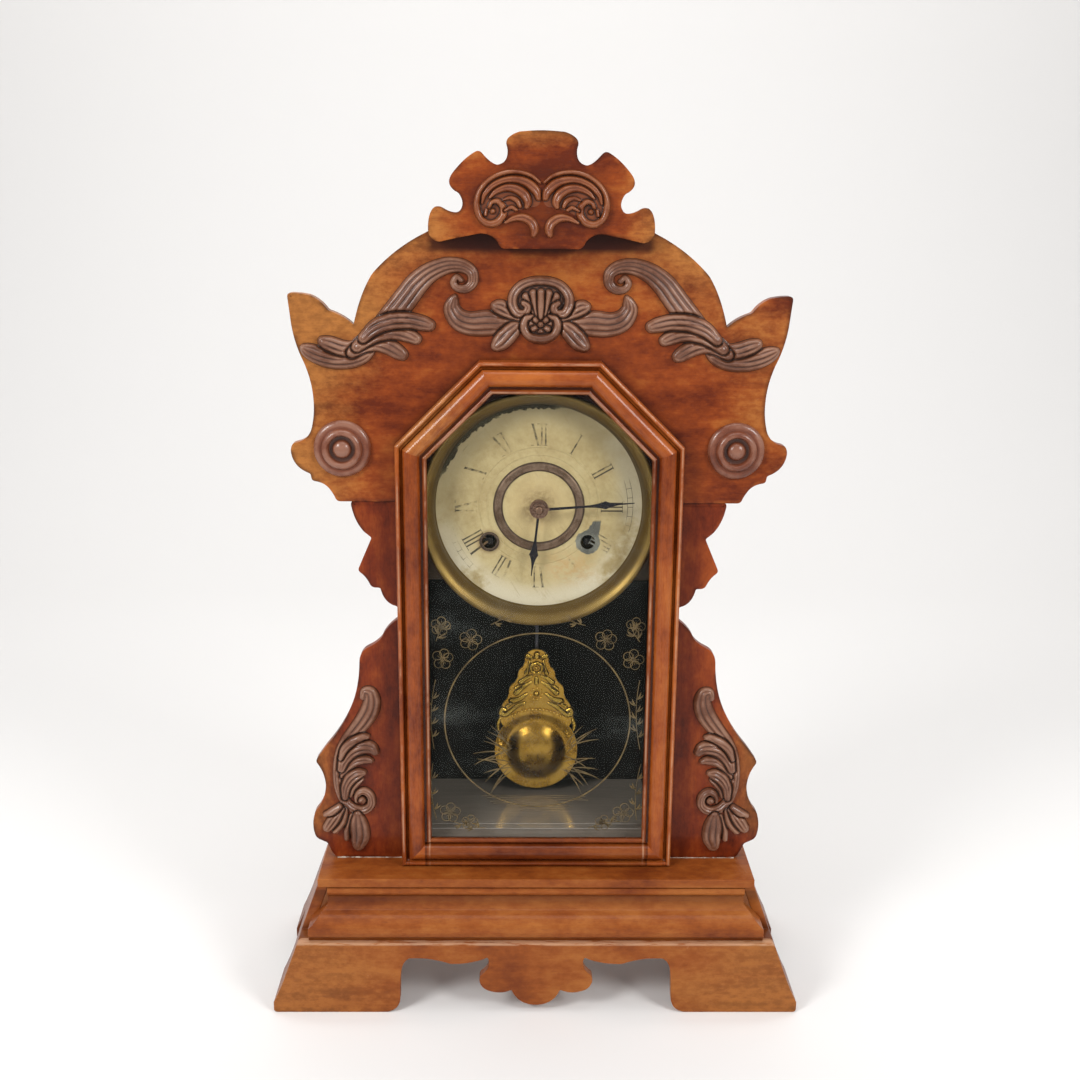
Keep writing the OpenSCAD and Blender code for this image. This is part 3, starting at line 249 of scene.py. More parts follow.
def finished(name, mesh, smooth):
    shaded(mesh, smooth)
    piece = bpy.data.objects.new(name, mesh)
    bpy.context.scene.collection.objects.link(piece)
    return piece


def dress(piece, material, body, slot, *replaced):
    """Gives a piece its finish and its place in the clock."""
    piece.data.materials.clear()
    piece.data.materials.append(material)
    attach(piece, body)
    if replaced:
        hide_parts(*replaced)
    return piece


def coat(material, *names):
    """Gives solids that keep their shape a new finish."""
    for name in names:
        mesh = NODES[name].data
        mesh.materials.clear()
        mesh.materials.append(material)


def applied(piece):
    """The piece with its modifiers made real."""
    bpy.context.view_layer.update()
    mesh = bpy.data.meshes.new_from_object(piece.evaluated_get(bpy.context.evaluated_depsgraph_get()))
    piece.modifiers.clear()
    piece.data = mesh
    return piece


def solid_form(node):
    """A solid's triangles as an editable mesh with merged points."""
    form = bmesh.new()
    form.from_mesh(NODES[node].data)
    bmesh.ops.remove_doubles(form, verts=form.verts, dist=TOUCH)
    return form


def softened(node, name, width, angle):
    """A copy of a solid with slightly rounded edges."""
    form = solid_form(node)
    bmesh.ops.dissolve_limit(form, angle_limit=math.radians(0.6), verts=form.verts, edges=form.edges)
    mesh = bpy.data.meshes.new(name)
    form.to_mesh(mesh)
    form.free()
    piece = finished(name, mesh, angle)
    if width:
        bevel = piece.modifiers.new("Rounding", "BEVEL")
        bevel.width, bevel.segments = width * MM, 2
        bevel.limit_method, bevel.angle_limit = "ANGLE", math.radians(angle)
        bevel.harden_normals = True
        applied(piece)
    return piece


def refinished(node, finish, body, slot, width=0.4, angle=32, name=None):
    """A rounded piece in place of a solid."""
    piece = softened(node, name or node.title().replace("_", ""), width, angle)
    return dress(piece, FINISH[finish], body, slot, node)


def outlines(node, y):
    """The closed outlines of a board's face at depth y, longest first, as points [x, z]."""
    form = solid_form(node)
    faces = [f for f in form.faces if abs(abs(f.normal.y) - 1) < 1e-3
             and all(abs(v.co.y / MM - y) < 0.02 for v in f.verts)]
    chosen = set(faces)
    steps = {}
    for face in faces:
        for loop in face.loops:
            if sum(f in chosen for f in loop.edge.link_faces) == 1:
                steps.setdefault(loop.vert, []).append(loop.link_loop_next.vert)
    loops = []
    while steps:
        vert = next(iter(steps))
        loop = []
        while vert in steps:
            loop.append((vert.co.x / MM, vert.co.z / MM))
            after = steps[vert].pop()
            if not steps[vert]:
                del steps[vert]
            vert = after
        loops.append(np.array(loop))
    form.free()
    return sorted(loops, key=lambda p: -np.abs(np.diff(p, axis=0)).sum())


def area(loop):
    """The signed area inside an outline."""
    nxt = np.roll(loop, -1, 0)
    return 0.5 * float(np.sum(loop[:, 0] * nxt[:, 1] - nxt[:, 0] * loop[:, 1]))


def refined(loop):
    """Rounds an outline's bends with a spline and eases its corners."""
    corner, flat, pieces, shortest, longest = 27, 0.4, 4, 0.6, 25
    keep = [0]
    for i in range(1, len(loop)):
        if np.linalg.norm(loop[i] - loop[keep[-1]]) > 0.05:
            keep.append(i)
    loop = loop[keep]
    before, after = np.roll(loop, 1, 0), np.roll(loop, -1, 0)
    d0, d1 = loop - before, after - loop
    turn = np.degrees(np.arctan2(d0[:, 0] * d1[:, 1] - d0[:, 1] * d1[:, 0], (d0 * d1).sum(1)))
    solid = 1 if area(loop) > 0 else -1
    sharp = abs(turn) > corner
    result, corners_at = [], []
    count = len(loop)
    for i in range(count):
        j = (i + 1) % count
        a, b = loop[i], loop[j]
        if sharp[i]:
            corners_at.append((len(result), turn[i] * solid > 0))
        result.append(a)
        length = np.linalg.norm(b - a)
        straight = (sharp[i] and sharp[j]) or (abs(turn[i]) < flat and abs(turn[j]) < flat)
        if straight or not shortest <= length <= longest:
            continue
        m0 = (b - before[i]) * length / (np.linalg.norm(a - before[i]) + length)
        m1 = (after[j] - a) * length / (np.linalg.norm(after[j] - b) + length)
        if sharp[i]:
            m0 = 1.5 * (b - a) - 0.5 * m1
        if sharp[j]:
            m1 = 1.5 * (b - a) - 0.5 * m0
        for k in range(1, pieces):
            t = k / pieces
            result.append((2 * t ** 3 - 3 * t * t + 1) * a + (t ** 3 - 2 * t * t + t) * m0
                          + (3 * t * t - 2 * t ** 3) * b + (t ** 3 - t * t) * m1)
    return eased(np.clip(result, loop.min(0), loop.max(0)), corners_at)


def walked(loop, start, step, reach):
    """The point at a distance along an outline, and how many points lie before it."""
    passed, i = 0.0, start
    for count in range(len(loop) // 2):
        j = (i + step) % len(loop)
        length = np.linalg.norm(loop[j] - loop[i])
        if passed + length >= reach:
            return loop[i] + (loop[j] - loop[i]) * (reach - passed) / length, count
        passed, i = passed + length, j
    return loop[i], count


def eased(loop, corners_at):
    """The outline with an arc in place of each corner: wider on outer corners than on inner ones."""
    outer_reach, inner_reach = 2.6, 0.45 * 2.6
    out, dropped = {}, set()
    steps = np.linalg.norm(np.diff(loop, axis=0, append=loop[:1]), axis=1)
    along = np.concatenate([[0], np.cumsum(steps)])
    spots = [along[place] for place, _ in corners_at]
    for k, (place, outer) in enumerate(corners_at):
        gaps = [(spots[(k + 1) % len(spots)] - spots[k]) % along[-1] or along[-1],
                (spots[k] - spots[k - 1]) % along[-1] or along[-1]]
        reach = min(outer_reach if outer else inner_reach, 0.45 * min(gaps))
        (first, back), (last, ahead) = walked(loop, place, -1, reach), walked(loop, place, 1, reach)
        dropped |= {(place + k) % len(loop) for k in range(-back, ahead + 1)}
        t = np.linspace(0, 1, 6)[:, None]
        out[place] = (1 - t) ** 2 * first + 2 * t * (1 - t) * loop[place] + t * t * last
    result = []
    for i, point in enumerate(loop):
        if i in out:
            result.extend(out[i])
        elif i not in dropped:
            result.append(point)
    return np.array(result)


def drawn_in(loop, inward):
    """The outline moved in by a distance, with its solid side on the left."""
    before, after = np.roll(loop, 1, 0), np.roll(loop, -1, 0)
    e0, e1 = loop - before, after - loop
    e0 /= np.linalg.norm(e0, axis=1)[:, None] + 1e-9
    e1 /= np.linalg.norm(e1, axis=1)[:, None] + 1e-9
    n0 = np.stack([-e0[:, 1], e0[:, 0]], 1)
    n1 = np.stack([-e1[:, 1], e1[:, 0]], 1)
    share = np.maximum(1 + (n0 * n1).sum(1), 0.45)
    return loop + inward * (n0 + n1) / share[:, None]


def board(name, loops, front, back):
    """A board with worn edges. Its attribute edge is 1 at the rim and 0 on the faces."""
    r, wear = sizes().rounding, 1.8
    rings = [(r + wear, front, 0.0), (r, front, 0.7), (0.3 * r, front + 0.12 * r, 1.0),
             (0.0, front + 0.55 * r, 1.0), (0.0, back - 0.55 * r, 0.6),
             (0.3 * r, back - 0.12 * r, 1.0), (r, back, 0.7), (r + wear, back, 0.0)]
    form = bmesh.new()
    layer = form.verts.layers.float.new("edge")
    caps = {0: [], len(rings) - 1: []}
    for index, loop in enumerate(loops):
        solid_left = loop if (area(loop) > 0) == (index == 0) else loop[::-1]
        last = None
        for k, (inward, y, edge) in enumerate(rings):
            ring = []
            for x, z in drawn_in(solid_left, inward):
                vert = form.verts.new((x * MM, y * MM, z * MM))
                vert[layer] = edge
                ring.append(vert)
            if last:
                for a in range(len(ring)):
                    b = (a + 1) % len(ring)
                    form.faces.new((last[a], last[b], ring[b], ring[a]))
            if k in caps:
                caps[k] += [(ring[a], ring[(a + 1) % len(ring)]) for a in range(len(ring))]
            last = ring
    for pairs in caps.values():
        edges = [form.edges.get(p) or form.edges.new(p) for p in pairs]
        bmesh.ops.triangle_fill(form, use_beauty=True, use_dissolve=False, edges=edges)
    bmesh.ops.recalc_face_normals(form, faces=form.faces)
    mesh = bpy.data.meshes.new(name)
    form.to_mesh(mesh)
    form.free()
    return finished(name, mesh, 34)


def mark_hollow(piece, values):
    """Gives each point of a piece its value of the attribute hollow."""
    layer = piece.data.attributes.new("hollow", "FLOAT", "POINT")
    layer.data.foreach_set("value", np.asarray(values, np.float32))


def lathe(name, profile, centre, turns=128, hollow=None):
    """A piece turned round an axis along Y. The profile is [radius, y] and may end on the axis.
    hollow gives each profile point a value for the attribute of that name."""
    verts, faces = [], []
    angles = np.arange(turns) * 2 * math.pi / turns
    for radius, y in profile:
        for a in angles:
            verts.append((centre[0] + radius * math.cos(a), y, centre[1] + radius * math.sin(a)))
    for i in range(len(profile) - 1):
        for k in range(turns):
            j = (k + 1) % turns
            faces.append((i * turns + k, i * turns + j, (i + 1) * turns + j, (i + 1) * turns + k))
    piece = new_object(name, verts, faces)
    if hollow:
        mark_hollow(piece, np.repeat(hollow, turns))
    return merged(piece)


def merged(piece):
    """The piece with its doubled points merged and its faces turned outwards."""
    form = bmesh.new()
    form.from_mesh(piece.data)
    bmesh.ops.remove_doubles(form, verts=form.verts, dist=1e-6)
    bmesh.ops.recalc_face_normals(form, faces=form.faces)
    form.to_mesh(piece.data)
    form.free()
    shaded(piece.data, 30)
    return piece


def together(name, pieces):
    """Joins pieces into one object."""
    first = pieces[0]
    form = bmesh.new()
    for piece in pieces:
        form.from_mesh(piece.data)
    form.to_mesh(first.data)
    form.free()
    for piece in pieces[1:]:
        bpy.data.objects.remove(piece)
    first.name = name
    return first


def spline(points):
    """Points on a smooth curve through the points given."""
    steps = 12
    p = np.array(points, float)
    p = np.vstack([2 * p[0] - p[1], p, 2 * p[-1] - p[-2]])
    t = np.linspace(0, 1, steps, endpoint=False)[:, None]
    out = []
    for a, b, c, d in zip(p[:-3], p[1:-2], p[2:-1], p[3:]):
        out.append(0.5 * (2 * b + (c - a) * t + (2 * a - 5 * b + 4 * c - d) * t ** 2
                          + (3 * b - a - 3 * c + d) * t ** 3))
    return np.vstack(out + [p[-2:-1]])


def blurred(grid, times):
    """The grid with each value averaged with its neighbours, some times over."""
    for _ in range(times):
        padded = np.pad(grid, 1, mode="edge")
        grid = (padded[:-2, 1:-1] + padded[2:, 1:-1] + padded[1:-1, :-2] + padded[1:-1, 2:]
                + 2 * padded[1:-1, 1:-1]) / 6
    return grid


def relief(name, strokes, face_y, mirror=(1,), step=0.36, sink=0.5):
    """Carved work. A stroke is (points [x, z, half width], height, flutes); later ones lie on top."""
    points = np.vstack([np.array(s[0], float) for s in strokes])
    margin = points[:, 2].max() + 2
    xs = np.arange(points[:, 0].min() - margin, points[:, 0].max() + margin, step)
    zs = np.arange(points[:, 1].min() - margin, points[:, 1].max() + margin, step)
    x, z = np.meshgrid(xs, zs)
    height = np.full(x.shape, -3.0)
    for line, top, flutes in strokes:
        line = spline(line)
        reach = line[:, 2].max() + 2.5
        near = ((x > line[:, 0].min() - reach) & (x < line[:, 0].max() + reach)
                & (z > line[:, 1].min() - reach) & (z < line[:, 1].max() + reach))
        px, pz = x[near][:, None], z[near][:, None]
        wide = np.maximum(line[:, 2], 0.2)
        ratio = ((px - line[:, 0]) ** 2 + (pz - line[:, 1]) ** 2) / wide ** 2
        k = ratio.argmin(1)
        share = k / (len(line) - 1)
        u = np.sqrt(ratio[np.arange(len(k)), k])
        ahead = line[np.minimum(k + 1, len(line) - 1), :2] - line[np.maximum(k - 1, 0), :2]
        side = np.sign(ahead[:, 0] * (pz[:, 0] - line[k, 1]) - ahead[:, 1] * (px[:, 0] - line[k, 0]))
        w = wide[k]
        inside = np.clip(1 - u ** 2.6, 0, 1) ** 0.55
        crest = top * (0.62 + 0.38 * np.clip(w / wide.max(), 0, 1)) * (0.9 + 0.2 * share)
        rib = np.abs(np.sin(math.pi * (u * side + 1) / 2 * max(flutes, 1))) ** 0.8
        depth = (0.34 if flutes > 1 else 0.0) * np.sin(math.pi * np.clip(share * 0.86 + 0.1, 0, 1)) ** 0.5
        form = crest * inside * (1 - depth * (1 - rib)) - np.clip(u - 1, 0, None) * w * 1.6
        old = height[near]
        gap = np.clip(u - 1, 0, None) * w
        pressed = np.where(old > 0, old * (1 - 0.72 * np.exp(-(gap / 0.9) ** 2)), old)
        height[near] = np.where(u < 1, np.maximum(form + 0.18 * np.clip(old, 0, None), pressed * 0.55),
                                np.maximum(pressed, form))
    height = blurred(height, 1)
    floor = np.clip(height, 0, None)
    near_hollow, wide_hollow = blurred(floor, 10) - floor, blurred(floor, 40) - floor
    hollow = np.clip(near_hollow * 0.8 + wide_hollow * 0.3 + 0.35, 0, 1)
    used = height > -sink
    cells = used[:-1, :-1] | used[1:, :-1] | used[:-1, 1:] | used[1:, 1:]
    rows, cols = np.nonzero(cells)
    index = np.full(x.shape, -1)
    corner = [(rows, cols), (rows, cols + 1), (rows + 1, cols + 1), (rows + 1, cols)]
    for r, c in corner:
        index[r, c] = 0
    ids = np.nonzero(index.ravel() == 0)[0]
    index.ravel()[ids] = np.arange(len(ids))
    depth = face_y - np.clip(height.ravel()[ids], -sink - 0.15, None)
    quads = np.stack([index[r, c] for r, c in corner], 1)
    pieces = []
    for sign in mirror:
        verts = np.stack([sign * x.ravel()[ids], depth, z.ravel()[ids]], 1)
        outwards = quads if sign > 0 else quads[:, ::-1]
        piece = new_object(name, verts, outwards.tolist(), 180)
        mark_hollow(piece, hollow.ravel()[ids])
        form = bmesh.new()
        form.from_mesh(piece.data)
        rim = [e for e in form.edges if e.is_boundary]
        bmesh.ops.holes_fill(form, edges=rim, sides=0)
        form.to_mesh(piece.data)
        form.free()
        pieces.append(piece)
    return together(name, pieces) if len(pieces) > 1 else pieces[0]


def both(strokes):
    """Strokes with their mirror images."""
    return [s for line, top, flutes in strokes
            for s in ((line, top, flutes), ([(-x, z, w) for x, z, w in line], top, flutes))]


def ribbon(points, width, y, closed=False):
    """A flat drawn line: verts and faces in the plane y."""
    p = np.array(points, float)
    if closed:
        along = np.roll(p, -1, 0) - np.roll(p, 1, 0)
    else:
        along = np.gradient(p, axis=0)
    along /= np.linalg.norm(along, axis=1)[:, None] + 1e-9
    normal = np.stack([-along[:, 1], along[:, 0]], 1)
    taper = np.ones(len(p)) if np.isscalar(width) else np.asarray(width)
    half = (width if np.isscalar(width) else 1) * taper / 2
    a, b = p + normal * half[:, None], p - normal * half[:, None]
    verts = [(x, y, z) for x, z in a] + [(x, y, z) for x, z in b]
    n = len(p)
    last = n if closed else n - 1
    return verts, [(i, (i + 1) % n, n + (i + 1) % n, n + i) for i in range(last)]


def circle(x, z, radius, count, width, y):
    """A flat drawn circle."""
    angles = np.linspace(0, 2 * math.pi, count, endpoint=False)
    return ribbon([(x + radius * math.cos(a), z + radius * math.sin(a)) for a in angles], width, y, True)


def drawn(name, lines):
    """Many flat lines as one piece."""
    verts, faces = [], []
    for line_verts, line_faces in lines:
        start = len(verts)
        verts += line_verts
        faces += [tuple(i + start for i in f) for f in line_faces]
    return new_object(name, verts, faces, 0)


# Geometry node trees

class Tree:
    """A geometry node tree under construction, with named inputs."""

    def __init__(self, name, **inputs):
        self.tree = bpy.data.node_groups.new(name, "GeometryNodeTree")
        self.tree.interface.new_socket("Geometry", in_out="INPUT", socket_type="NodeSocketGeometry")
        for key, value in inputs.items():
            kind = "NodeSocketInt" if isinstance(value, int) else "NodeSocketFloat"
            self.tree.interface.new_socket(key, in_out="INPUT", socket_type=kind).default_value = value
        self.tree.interface.new_socket("Geometry", in_out="OUTPUT", socket_type="NodeSocketGeometry")
        self.start = self.tree.nodes.new("NodeGroupInput")
        self.end = self.tree.nodes.new("NodeGroupOutput")

    def input(self, name):
        return self.start.outputs[name]

    def add(self, kind, settings=None, sockets=None):
        node = self.tree.nodes.new(kind)
        for key, value in (settings or {}).items():
            setattr(node, key, value)
        for key, value in (sockets or {}).items():
            if isinstance(value, bpy.types.NodeSocket):
                self.tree.links.new(value, node.inputs[key])
            else:
                node.inputs[key].default_value = value
        return node

    def instances(self, points, instance, turn=(0, 0, 0)):
        sockets = {"Points": points.outputs[0], "Instance": instance.outputs[0], "Rotation": turn}
        return self.add("GeometryNodeInstanceOnPoints", {}, sockets)

    def upright(self, flat, place):
        """Turns a pattern from the ground plane to face the front and moves it."""
        sockets = {"Geometry": flat.outputs[0], "Rotation": (QUARTER, 0, 0), "Translation": place}
        return self.add("GeometryNodeTransform", {}, sockets).outputs[0]

    def result(self, geometry, material, name, **values):
        """Runs the tree on an empty mesh and returns a plain mesh object."""
        real = self.add("GeometryNodeRealizeInstances", {}, {0: geometry})
        painted = self.add("GeometryNodeSetMaterial", {}, {0: real.outputs[0], "Material": material})
        self.tree.links.new(painted.outputs[0], self.end.inputs[0])
        piece = bpy.data.objects.new(name, bpy.data.meshes.new(name))
        bpy.context.scene.collection.objects.link(piece)
        modifier = piece.modifiers.new("Repeat", "NODES")
        modifier.node_group = self.tree
        for item in self.tree.interface.items_tree:
            if item.in_out == "INPUT" and item.name in values:
                modifier[item.identifier] = values[item.name]
        applied(piece)
        return merged(piece)


# Finishes

def past_door(finish):
    """How far a point lies outside the door's outline, in millimetres."""
    x, _, z = finish.parts()
    side = abs(x) - float(DOOR_HALF)
    corner = (z - SHOULDER + side * SLOPE) * (1 / math.hypot(1, SLOPE))
    return side.most(z - float(DOOR_TOP)).most(corner)


def distance(a, b):
    """The length of a vector from its two parts."""
    return (a * a + b * b).root()


def band(wire, low, high, soft):
    """1 between two values, with soft ends."""
    return wire.smooth(low, low + soft) * wire.smooth(high + soft, high)


def wood(name, tones, gloss, grain=(0, 0, 0), mirrored=False, dark=None, worn=None, fade_and_sheen=None,
         edge=False, lacquer=0.12, seed=0.0):
    """Stained wood with its grain along X before the turn. tones are (dark, middle, light, pale);
    dark, worn and fade_and_sheen are masks of painted shade and grime, of painted highlight and worn spots,
    and of bleached stain and painted sheen."""
    finish = Finish(name, Coat_Roughness=0.1, Specular_IOR_Level=0.14)
    place = finish.point()
    if mirrored:
        x, y, z = finish.parts(place)
        place = finish.joined(abs(x), y, z)
    if seed:
        shift = (seed * 137, seed * 71, seed * 53)
        place = finish.add("VectorMath", {"operation": "ADD"}, {0: place, 1: shift})
    place = finish.point(turn=grain, start=place)
    large = finish.noise((0.012, 0.022, 0.026), 3, 0.5, place)
    cloud = finish.noise((0.045, 0.06, 0.08), 4, 0.6, place)
    mottle = finish.noise((0.16, 0.26, 0.26), 5, 0.68, place)
    streak = finish.noise((0.014, 0.2, 0.2), 5, 0.62, place)
    fibre = finish.noise((0.10, 1.5, 1.5), 3, 0.7, place)
    pore = finish.noise((0.22, 3.6, 3.6), 2, 0.6, place).smooth(0.60, 0.72)
    tone = large * 0.9 + cloud * 0.5 + mottle * 0.34 + streak * 0.2 + fibre * 0.1
    tone = ((tone - 1.02) * 2.1 + 0.5).clamped()
    colour = finish.ramp(tone, (0.08, tones[0]), (0.5, tones[1]), (0.92, tones[2]))
    # fade_and_sheen paints bleached stain, and a painted sheen on the door's sloping rails
    if fade_and_sheen is not None:
        share = (fade_and_sheen(finish) + (large - 0.5) * 1.3 + (mottle - 0.5) * 0.6).smooth(0.2, 1.1)
        pale = finish.mix((mottle * 0.6 + streak * 0.4).smooth(0.4, 0.6), shade(tones[3], 0.66), tones[3])
        colour = finish.mix(share * 0.85, colour, pale)
    colour = finish.mix(pore * 0.3, colour, shade(tones[0], 0.5))
    spots = finish.noise((0.09, 0.12, 0.12), 5, 0.7, place).smooth(0.64, 0.8)
    colour = finish.mix(spots * 0.4, colour, shade(tones[0], 0.6))
    # dark paints shade and grime
    if dark is not None:
        colour = finish.mix(dark(finish), colour, shade(tones[0], 0.3))
    # worn paints bare wood, which also stands for painted highlight on the beads and the ledge
    if worn is not None:
        colour = finish.mix(worn(finish), colour, (0.60, 0.36, 0.22))
    if edge:
        rim = finish.attribute("edge")
        patch = finish.noise(0.05, 4, 0.6, place)
        colour = finish.mix(rim * patch.smooth(0.44, 0.56) * 0.7, colour, shade(tones[0], 0.25))
        colour = finish.mix(rim * patch.smooth(0.46, 0.36) * 0.4, colour, shade(tones[2], 1.3))
    finish.set(Base_Color=colour, Roughness=gloss + fibre * 0.16 + spots * 0.2,
               Coat_Weight=lacquer * (1.0 - spots * 0.8))
    finish.bumps((cloud, 0.10), (fibre, 0.03), (pore, -0.05))
    return finish.material


def carved(name, tones, gloss, worn_highlight_tone):
    """Carved wood: painted shade and grime in its hollows, greyish painted highlight and wear on its ridges.
    """
    finish = Finish(name, Coat_Weight=0.5, Coat_Roughness=0.2, Specular_IOR_Level=0.2)
    place = finish.point()
    hollow = finish.attribute("hollow")
    cloud = finish.noise(0.06, 4, 0.6, place)
    grain = finish.noise((0.35, 1.6, 2.2), 4, 0.7, place)
    tone = (cloud * 0.7 + grain * 0.5 - 0.1).clamped()
    colour = finish.ramp(tone, (0.2, tones[0]), (0.5, tones[1]), (0.85, tones[2]))
    # Painted shade and grime in the hollows
    colour = finish.mix(hollow.smooth(0.34, 0.8) * 0.8, colour, shade(tones[0], 0.2))
    # Painted highlight and wear: greyish on the ridges
    worn_and_highlit = hollow.smooth(0.3, 0.04) * cloud.smooth(0.35, 0.6)
    colour = finish.mix(worn_and_highlit * 0.42, colour, worn_highlight_tone)
    finish.set(Base_Color=colour, Roughness=gloss + hollow * 0.25 - worn_and_highlit * 0.1)
    finish.bumps((grain, 0.07), (cloud, 0.1))
    return finish.material


def metal(name, tones, rough, scale=1.0, stain=None, metallic=1.0, hollow=False, marks=None, forms=None):
    """Aged metal in two tones, with stains and fine scratches. marks is a mask of further stains and painted
    shade, and forms gives further relief."""
    finish = Finish(name)
    place = finish.point()
    cloud = finish.noise(0.05 * scale, 5, 0.65, place)
    speck = finish.noise(0.7 * scale, 4, 0.7, place)
    lines = finish.noise((2.4, 2.4, 0.06), 3, 0.7, place)
    colour = finish.mix(cloud.smooth(0.35, 0.65), tones[0], tones[1])
    patina_and_shade = speck.smooth(0.56, 0.72) * cloud.smooth(0.6, 0.4)
    if hollow:
        deep = finish.attribute("hollow")
        patina_and_shade = patina_and_shade.most(deep.smooth(0.30, 0.52))
        # Painted highlight: the relief's ridges paler; the dark in its hollows is patina
        colour = finish.mix(deep.smooth(0.24, 0.04) * 0.8, colour, shade(tones[1], 2.3))
    if marks is not None:
        # marks adds stains and painted shade
        patina_and_shade = patina_and_shade.most(marks(finish))
    colour = finish.mix(patina_and_shade * 0.8, colour, stain or shade(tones[0], 0.3))
    finish.set(Base_Color=colour, Metallic=metallic - patina_and_shade * 0.35,
               Roughness=rough + cloud * 0.16 + patina_and_shade * 0.25 + lines * 0.06)
    finish.bumps((lines, 0.012), (speck, 0.02), *(forms(finish) if forms else ()))
    return finish.material


def from_centre(finish):
    """Offsets from the dial's centre and the distance to it, in millimetres."""
    x, _, z = finish.parts()
    dz = z - float(DIAL_Z)
    return x, dz, distance(x, dz)


def paper(name, ink=None, keep=0.0):
    """The aged dial paper, or printing ink that has worn off it where the noise is below keep."""
    finish = Finish(name, Specular_IOR_Level=0.15)
    dx, dz, radius = from_centre(finish)
    place = finish.point()
    cloud = finish.noise(0.03, 5, 0.62, place)
    fine = finish.noise(0.35, 5, 0.7, place)
    fleck = finish.noise(1.3, 3, 0.7, place)
    colour = finish.ramp(cloud * 0.75 + fine * 0.3 - 0.02, (0.28, (0.28, 0.205, 0.088)),
                         (0.5, (0.43, 0.345, 0.168)), (0.74, (0.54, 0.46, 0.265)))
    rim = radius.smooth(46, 63)
    # Painted light: the rim paler towards the bottom and the right, in patches
    pale = rim * dz.smooth(10, -40).most(dx.smooth(25, 55) * 0.7) * cloud.smooth(0.36, 0.5)
    colour = finish.mix(pale * 0.85, colour, (0.62, 0.57, 0.42))
    # The rim darker towards the top
    dull = rim * dz.smooth(-20, 40) * (0.35 + fine * 0.5)
    colour = finish.mix(dull, colour, (0.24, 0.20, 0.115))
    colour = finish.mix(radius.smooth(30, 8) * 0.5, colour, (0.56, 0.42, 0.20))
    colour = finish.mix(radius.smooth(17, 5) * fine.smooth(0.35, 0.62) * 0.65, colour, (0.20, 0.13, 0.055))
    colour = finish.mix(fleck.smooth(0.62, 0.74) * 0.4, colour, (0.22, 0.14, 0.06))
    scratch = finish.noise((0.9, 0.9, 0.05), 4, 0.7, place, (0, 0.6, 0))
    colour = finish.mix(scratch.smooth(0.6, 0.68) * 0.3, colour, (0.25, 0.18, 0.09))
    fold = finish.noise((0.08, 0.3, 1.2), 4, 0.7, place, (0, -0.9, 0))
    colour = finish.mix(fold.smooth(0.62, 0.7) * 0.3 * dx.smooth(-10, 30), colour, (0.22, 0.15, 0.07))
    scorch = abs(dx - 20).smooth(26, 4) * abs(dz + 40).smooth(16, 3)
    colour = finish.mix(scorch * fine.smooth(0.4, 0.6) * 0.5, colour, (0.42, 0.24, 0.08))
    if ink:
        kept = (finish.noise(0.16, 6, 0.75, place) * 0.7
                + finish.noise(0.025, 2, 0.5, place) * 0.5
                + dx.smooth(10, 60) * dz.smooth(-25, 0) * dz.smooth(30, 5) * 0.3)
        colour = finish.mix(kept.smooth(keep, keep + 0.18) * 0.9, colour, ink)
    side, below = WINDING
    left, right, drop = dx + side, dx - side, dz + below
    colour = finish.mix(distance(left, drop).smooth(9.5, 5.5) * 0.6, colour, (0.14, 0.075, 0.03))
    ragged = (fine - 0.5) * 3
    bare = (distance(right, drop) + ragged).smooth(8.2, 7.4)
    tail = abs(right - drop * 0.42) + ragged + (drop - 4) * 0.28
    bare = bare.most(tail.smooth(5.4, 4.6) * drop.smooth(0, 2) * drop.smooth(15, 13))
    zinc = finish.mix(cloud.smooth(0.4, 0.6), (0.09, 0.09, 0.075), (0.20, 0.20, 0.16))
    colour = finish.mix(bare, colour, zinc)
    torn_line = radius + (fine - 0.5) * 8 + (cloud - 0.5) * 5
    upper = (dz * 0.86 - dx * 0.5).smooth(42, 52)
    torn = (torn_line + upper * 3.2).smooth(65.6, 66.2) * upper
    colour = finish.mix(torn, colour, (0.036, 0.029, 0.014))
    finish.set(Base_Color=colour, Roughness=0.62 + fine * 0.25)
    rings = [(radius.smooth(r + 0.4, r) * radius.smooth(r - 0.8, r - 0.4), -0.2) for r in (38, 33)]
    finish.bumps((cloud, 0.25), (fine, 0.06), *rings)
    return finish.material


def box_wood(name, inside, outer, axis, low, high, grain):
    """Stained outside and nearly black inside the case: the change lies between low and high on an axis."""
    finish = Finish(name, Coat_Roughness=0.2)
    place = finish.point(turn=grain, start=finish.point())
    fibre = finish.noise((0.03, 0.5, 0.5), 5, 0.65, place)
    cloud = finish.noise((0.02, 0.05, 0.05), 4, 0.55, place)
    outside = finish.ramp(fibre * 0.5 + cloud * 0.6, (0.35, outer[0]), (0.55, outer[1]), (0.75, outer[2]))
    within = finish.ramp(fibre, (0.3, inside[0]), (0.5, inside[1]), (0.7, inside[2]))
    across = finish.parts()[axis]
    mask = abs(across).smooth(low, high) if axis == 0 else across.smooth(low, high)
    finish.set(Base_Color=finish.mix(mask, within, outside), Roughness=0.45 + fibre * 0.3,
               Specular_IOR_Level=0.06)
    finish.bumps((fibre * mask, 0.04))
    return finish.material


